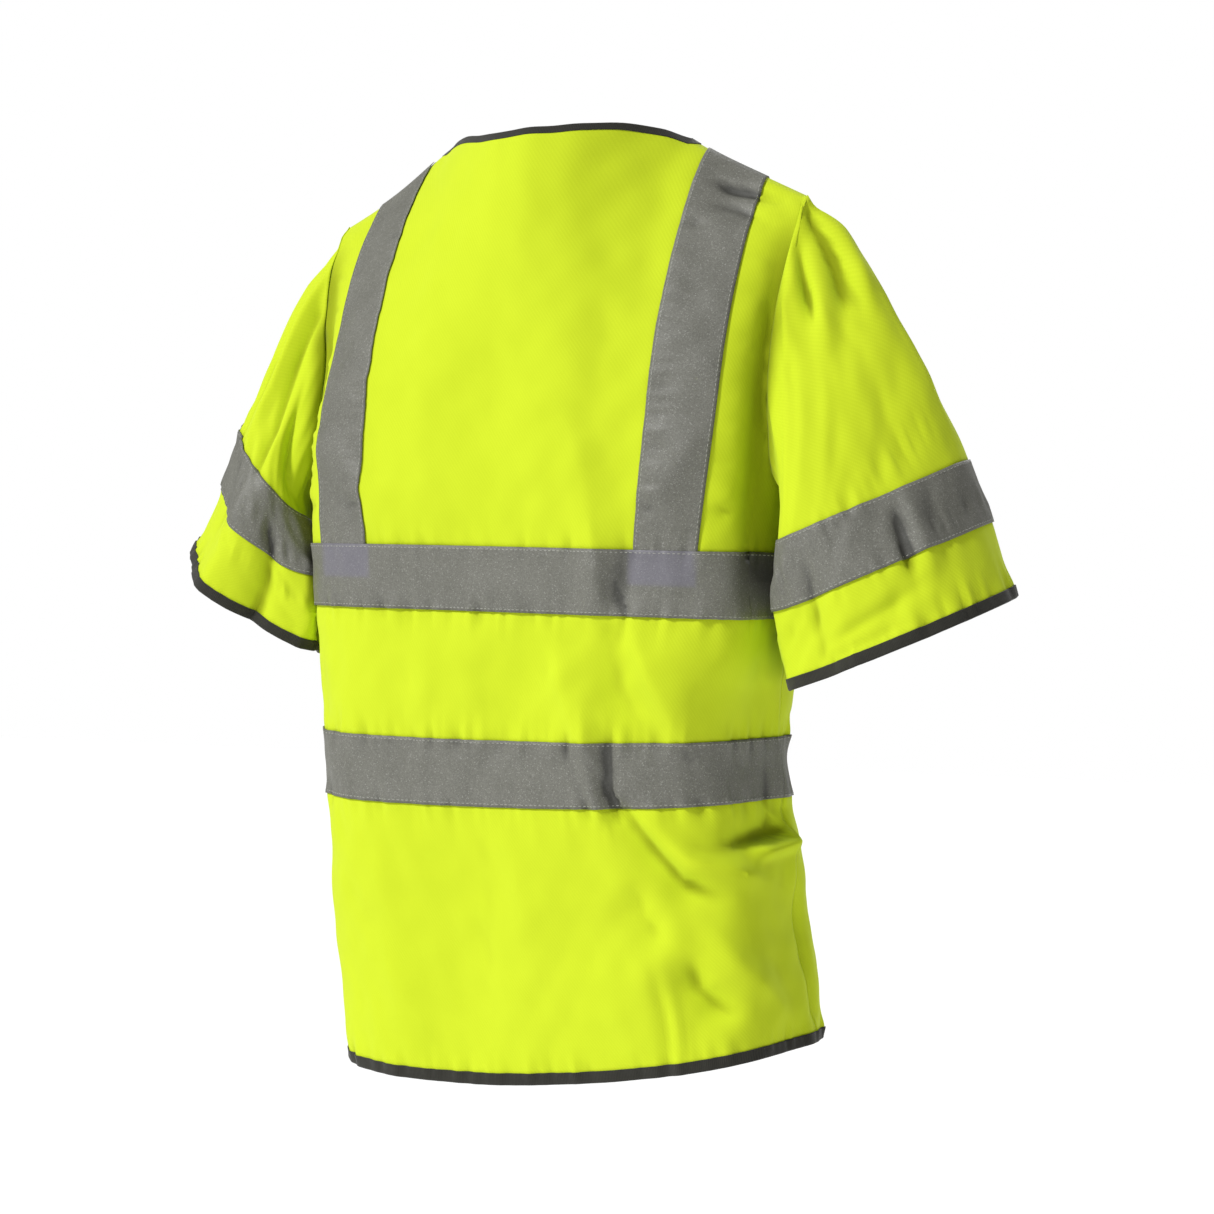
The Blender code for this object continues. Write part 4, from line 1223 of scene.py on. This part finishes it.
def repeat(name: str, template: Template, frames: Array) -> bpy.types.Mesh:
    """One mesh of many copies of a small shape.

    Args:
        name: the mesh's name.
        template: the shape's points and faces.
        frames: an origin and three axes for each copy.

    Returns:
        The mesh.
    """
    points, faces = template
    placed = frames[:, None, 0] + np.einsum("pk,nkj->npj", points, frames[:, 1:])
    shift = np.arange(len(frames))[:, None] * len(points)
    listed = [tuple(corner) for face in faces for corner in (np.array(face)[None] + shift).tolist()]
    mesh = bpy.data.meshes.new(name)
    mesh.from_pydata(placed.reshape(-1, 3).tolist(), [], listed)
    mesh.polygons.foreach_set("use_smooth", [True] * len(mesh.polygons))
    mesh.update()
    return mesh


def grain_shape(length: float, width: float, height: float) -> Template:
    """A stitch or a coil's turn: a short thread that rises from the cloth and dives back into it."""
    ring = [(0.0, 0.5), (0.5, 0.15), (0.35, -0.4), (-0.35, -0.4), (-0.5, 0.15)]
    points = [(-0.5 * length, 0.0, -0.6 * height)]
    for x, scale, lift in ((-0.3, 0.8, -0.1), (0.0, 1.0, 0.25), (0.3, 0.8, -0.1)):
        points += [(x * length, a * width * scale, (b + lift) * height * 1.6) for a, b in ring]
    points.append((0.5 * length, 0.0, -0.6 * height))
    faces: list[tuple[int, ...]] = []
    for i in range(5):
        j = (i + 1) % 5
        faces.append((0, 1 + i, 1 + j))
        faces += [(1 + i, 6 + i, 6 + j, 1 + j), (6 + i, 11 + i, 11 + j, 6 + j), (11 + i, 16, 11 + j)]
    return np.array(points), faces


def along_line(line: Array, run: Array, at: Array) -> Array:
    """Points of a line, or directions given along it, at distances along it."""
    return np.stack([np.interp(at, run, line[:, k]) for k in range(3)], axis=-1)


def stitch_frames(line: Array, outward: Array, pitch: float = STITCH_PITCH) -> Array:
    """Frames of stitches set at a pitch along a line on the cloth."""
    run = np.concatenate([[0.0], np.cumsum(np.linalg.norm(np.diff(line, axis=0), axis=1))])
    count = max(int(run[-1] / pitch), 2)
    at = (np.arange(count) + 0.5) * run[-1] / count
    up = unit(along_line(outward, run, at))
    along = unit(along_line(line, run, at + pitch / 4) - along_line(line, run, at - pitch / 4))
    aside = unit(np.cross(up, along))
    centre = along_line(line, run, at)
    return np.stack([centre, along, aside, np.cross(along, aside)], axis=1)


def body_line(girths: Array, heights: Array, outward: float) -> tuple[Array, Array]:
    """A line on the folded body, and the directions out of it."""
    base = body_point(girths, heights, outward)
    return base, body_point(girths, heights, outward + 0.001) - base


def body_stitching() -> list[Array]:
    """Frames of the stitches along the body's tapes."""
    found = []
    over = TAPE_LIFT + TAPE_THICK
    for low, high in SPANS.values():
        girths = column_girths(low, high)
        for _, top, lift in TAPE_LINES:
            for z in (top - STITCH_INSET, top - TAPE_WIDTH + STITCH_INSET):
                line = body_line(girths, np.full_like(girths, z), over + lift)
                found.append(stitch_frames(*line))
    rows = (BRACE_INNER + STITCH_INSET, BRACE_INNER + TAPE_WIDTH - STITCH_INSET)
    for sign, x, front in itertools.product((-1, 1), rows, (False, True)):
        girth = sign * (math.pi - float(back_girth(x)) if front else float(back_girth(x)))
        top = float(ridge_height(np.array(x))) - 0.002
        heights = np.linspace(UPPER_TAPE_TOP + 0.001, top, 160)
        found.append(stitch_frames(*body_line(np.full_like(heights, girth), heights, over)))
    return found


def sleeve_stitching(side: Side) -> list[Array]:
    """Frames of the stitches along a sleeve's tape."""
    turn = np.linspace(0, 2 * math.pi, 220)
    length = sleeve_length(side, turn)
    found = []
    for up in (SLEEVE_TAPE_UP + STITCH_INSET, SLEEVE_TAPE_UP + TAPE_WIDTH - STITCH_INSET):
        share = 1 - up / length
        base = sleeve_point(side, turn, share, TAPE_LIFT + TAPE_THICK)
        out = sleeve_point(side, turn, share, TAPE_LIFT + TAPE_THICK + 0.001) - base
        found.append(stitch_frames(base, out))
    return found


def stitches(name: str, frames: Sequence[Array], material: bpy.types.Material) -> bpy.types.Object:
    """One object of all the stitches of some lines."""
    shape = grain_shape(STITCH_LENGTH, STITCH_WIDTH, STITCH_HEIGHT)
    mesh = repeat(name, shape, np.concatenate(list(frames)))
    mesh.materials.append(material)
    return place_object(name, mesh)


def zip_teeth(side: Side, material: bpy.types.Material) -> bpy.types.Object:
    """A zip's coil on one side, as its row of small moulded turns."""
    low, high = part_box(f"{side.label}_zip_coil")
    count = int((high[2] - low[2]) / COIL_PITCH)
    between = 0.5 if side is Side.LEFT else 0.0  # one side's turns lie between the other's
    z = low[2] + (np.arange(count) + between) * COIL_PITCH + COIL_PITCH / 2
    z = z[z < high[2] - COIL_PITCH / 2]
    frames = np.zeros((len(z), 4, 3))
    frames[:, 0, 0] = (low[0] + high[0]) / 2
    frames[:, 0, 1] = (low[1] + high[1]) / 2
    frames[:, 0, 2] = z
    frames[:, 1:] = ((1, 0, 0), (0, 0, 1), (0, -1, 0))
    shape = grain_shape(high[0] - low[0], COIL_PITCH * 0.85, COIL_HEIGHT)
    mesh = repeat(f"{side.label}_zip_teeth", shape, frames)
    mesh.materials.append(material)
    return place_object(f"{side.label}_zip_teeth", mesh)


def neck_label(material: bpy.types.Material) -> bpy.types.Object:
    """The blank woven label inside the back of the neck."""
    low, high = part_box("neck_label")
    middle, width, height = (low[2] + high[2]) / 2, high[0] - low[0], high[2] - low[2]

    def place(across: Array, along: Array) -> Array:
        x = (across - 0.5) * width
        girth = np.sign(x) * back_girth(np.abs(x))
        return body_point(girth, middle + (along - 0.5) * height, -2 * FABRIC)

    def weave(across: Array, along: Array) -> Array:
        return np.stack([across * width, along * height], axis=-1)

    return Blank("woven_label", place, 24, 16, weave, {}, -0.0003).build(material)


def lights_and_camera() -> None:
    """A studio: a key from the camera's upper left, a fill in front, a surround and a white floor."""
    scene = bpy.context.scene
    camera = bpy.data.cameras.new("camera")
    camera.lens = LENS
    camera.clip_end = 50
    view = place_object("camera", camera)
    view.location = CAMERA_PLACE
    aim = Vector(CAMERA_AIM) - view.location
    view.rotation_euler = aim.to_track_quat("-Z", "Y").to_euler()
    scene.camera = view

    def sun(name: str, towards: tuple[float, float, float], strength: float, spread: float) -> None:
        light = bpy.data.lights.new(name, "SUN")
        light.energy = strength
        light.angle = math.radians(spread)
        lamp = place_object(name, light)
        lamp.rotation_euler = Vector(towards).to_track_quat("Z", "Y").to_euler()

    sun("key", (0.44, 0.76, 0.74), 2.75, 10)
    sun("front_fill", (0.2, -1.0, 0.8), 1.4, 50)

    world = bpy.data.worlds.new("studio")
    scene.world = world
    world.use_nodes = True
    tree = world.node_tree
    tree.nodes.clear()
    out = tree.nodes.new("ShaderNodeOutputWorld")
    mix = tree.nodes.new("ShaderNodeMixShader")
    seen, lit = tree.nodes.new("ShaderNodeBackground"), tree.nodes.new("ShaderNodeBackground")
    seen.inputs["Color"].default_value = (1.0, 1.0, 1.0, 1.0)
    seen.inputs["Strength"].default_value = 1.0
    lit.inputs["Color"].default_value = (1.0, 0.99, 0.97, 1.0)
    lit.inputs["Strength"].default_value = SURROUND
    path = tree.nodes.new("ShaderNodeLightPath")
    tree.links.new(path.outputs["Is Camera Ray"], mix.inputs[0])
    tree.links.new(lit.outputs[0], mix.inputs[1])
    tree.links.new(seen.outputs[0], mix.inputs[2])
    tree.links.new(mix.outputs[0], out.inputs[0])
    scene.view_settings.view_transform = "Standard"

    bm = bmesh.new()
    bmesh.ops.create_grid(bm, x_segments=1, y_segments=1, size=FLOOR_SIZE)
    bmesh.ops.translate(bm, verts=bm.verts, vec=(0, 0, FLOOR_HEIGHT))
    mesh = bpy.data.meshes.new("floor")
    bm.to_mesh(mesh)
    bm.free()
    paint = Shader(Finish("floor_paint", WHITE, WHITE, 0.9))
    paint.surface.inputs["Base Color"].default_value = linear(WHITE)
    mesh.materials.append(paint.material)
    floor = place_object("floor", mesh)


@dataclass(frozen=True)
class Fitting:
    """How a finished piece joins the model: it hides the parts that it stands for, rides on a body or is
    baked in place, and holds a slot name.
    """

    obj: bpy.types.Object
    nodes: tuple[str, ...]
    slot: str

    def ride(self, body: str = "torso") -> bpy.types.Object:
        """Ride on one body."""
        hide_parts(*self.nodes)
        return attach(self.obj, body)

    def bend(self, side: Side) -> bpy.types.Object:
        """Hide the parts that the piece stands for, and bake its placement into its mesh."""
        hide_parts(*self.nodes)
        return bend_into_sleeve(self.obj, side)


def bend_into_sleeve(obj: bpy.types.Object, side: Side) -> bpy.types.Object:
    """Bake a piece's placement into its mesh."""
    start = (side.value * 0.212, 0.0, -0.26)
    end = (side.value * 0.320, 0.0, -0.341)
    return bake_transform(obj, "torso", f"{side.label}_sleeve", start=start, end=end)


def dress_body(wardrobe: Wardrobe) -> None:
    """Make the body's cloth, tapes, bindings, stitches and label."""
    panels, tapes = body_strips()
    made: dict[str, bpy.types.Object] = {}
    for strip in panels:
        built = strip.blank().build(wardrobe.cloth)
        made[strip.name] = Fitting(built, (strip.name,), "hi_vis_cloth").ride()
    for strip in tapes:
        built = strip.blank().build(wardrobe.tape)
        made[strip.name] = Fitting(built, (strip.name,), "reflective_tape").ride()
    for edge in (hem_edge(), neck_edge()):
        built = edge.blank().build(wardrobe.binding)
        made[edge.name] = Fitting(built, (edge.name,), "edge_binding").ride()
    thread = stitches("body_stitching", body_stitching(), wardrobe.thread)
    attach(thread, "torso")
    label = Fitting(neck_label(wardrobe.label), ("neck_label",), "label_cloth").ride()
    back_pieces = [made[n] for n in made if n.startswith("back_") and n != "back_panel"]
    back_pieces += [made["left_back_brace_tape"], made["right_back_brace_tape"], thread, label]
    back_pieces += [made["hem_binding"], made["neck_binding"]]
    for side in Side:
        name = f"{side.label}_front"
        pieces = [made[n] for n in made if n.startswith(name) and n != f"{name}_panel"]
        pieces.append(made[f"{side.label}_front_brace_tape"])


def dress_sleeves(wardrobe: Wardrobe) -> None:
    """Make the sleeves with their tapes, cuffs and stitches."""
    for side in Side:
        cloth = sleeve_blank(side).build(wardrobe.cloth)
        tape = sleeve_tape_blank(side).build(wardrobe.tape)
        cuff = cuff_edge(side).blank().build(wardrobe.binding)
        thread = stitches(f"{side.label}_sleeve_stitching", sleeve_stitching(side), wardrobe.thread)
        Fitting(cloth, (f"{side.label}_sleeve",), "hi_vis_cloth").bend(side)
        Fitting(tape, (f"{side.label}_sleeve_tape",), "reflective_tape").bend(side)
        Fitting(cuff, (f"{side.label}_cuff_binding",), "edge_binding").bend(side)
        bend_into_sleeve(thread, side)


def dress_zip(wardrobe: Wardrobe, nodes: dict[str, bpy.types.Object]) -> None:
    """Give the zip's parts their finishes, and its coils their turns."""
    for side in Side:
        teeth = zip_teeth(side, wardrobe.coil)
        Fitting(teeth, (f"{side.label}_zip_coil",), "zip_coil_plastic").ride()
    finishes = dict.fromkeys(("stop", "pin", "box", "slider", "pull"), wardrobe.metal)
    finishes["zip_tape"] = wardrobe.zip_cloth
    for name, node in nodes.items():
        if node.hide_render or node.type != "MESH":
            continue
        for word, material in finishes.items():
            if name.endswith(word):
                for place in node.material_slots:
                    place.material = material


def main() -> None:
    """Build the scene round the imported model."""
    logging.basicConfig(level=logging.INFO)
    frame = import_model()
    wardrobe = Wardrobe()
    dress_body(wardrobe)
    dress_sleeves(wardrobe)
    dress_zip(wardrobe, frame["nodes"])
    lights_and_camera()


if __name__ == "__main__":
    main()
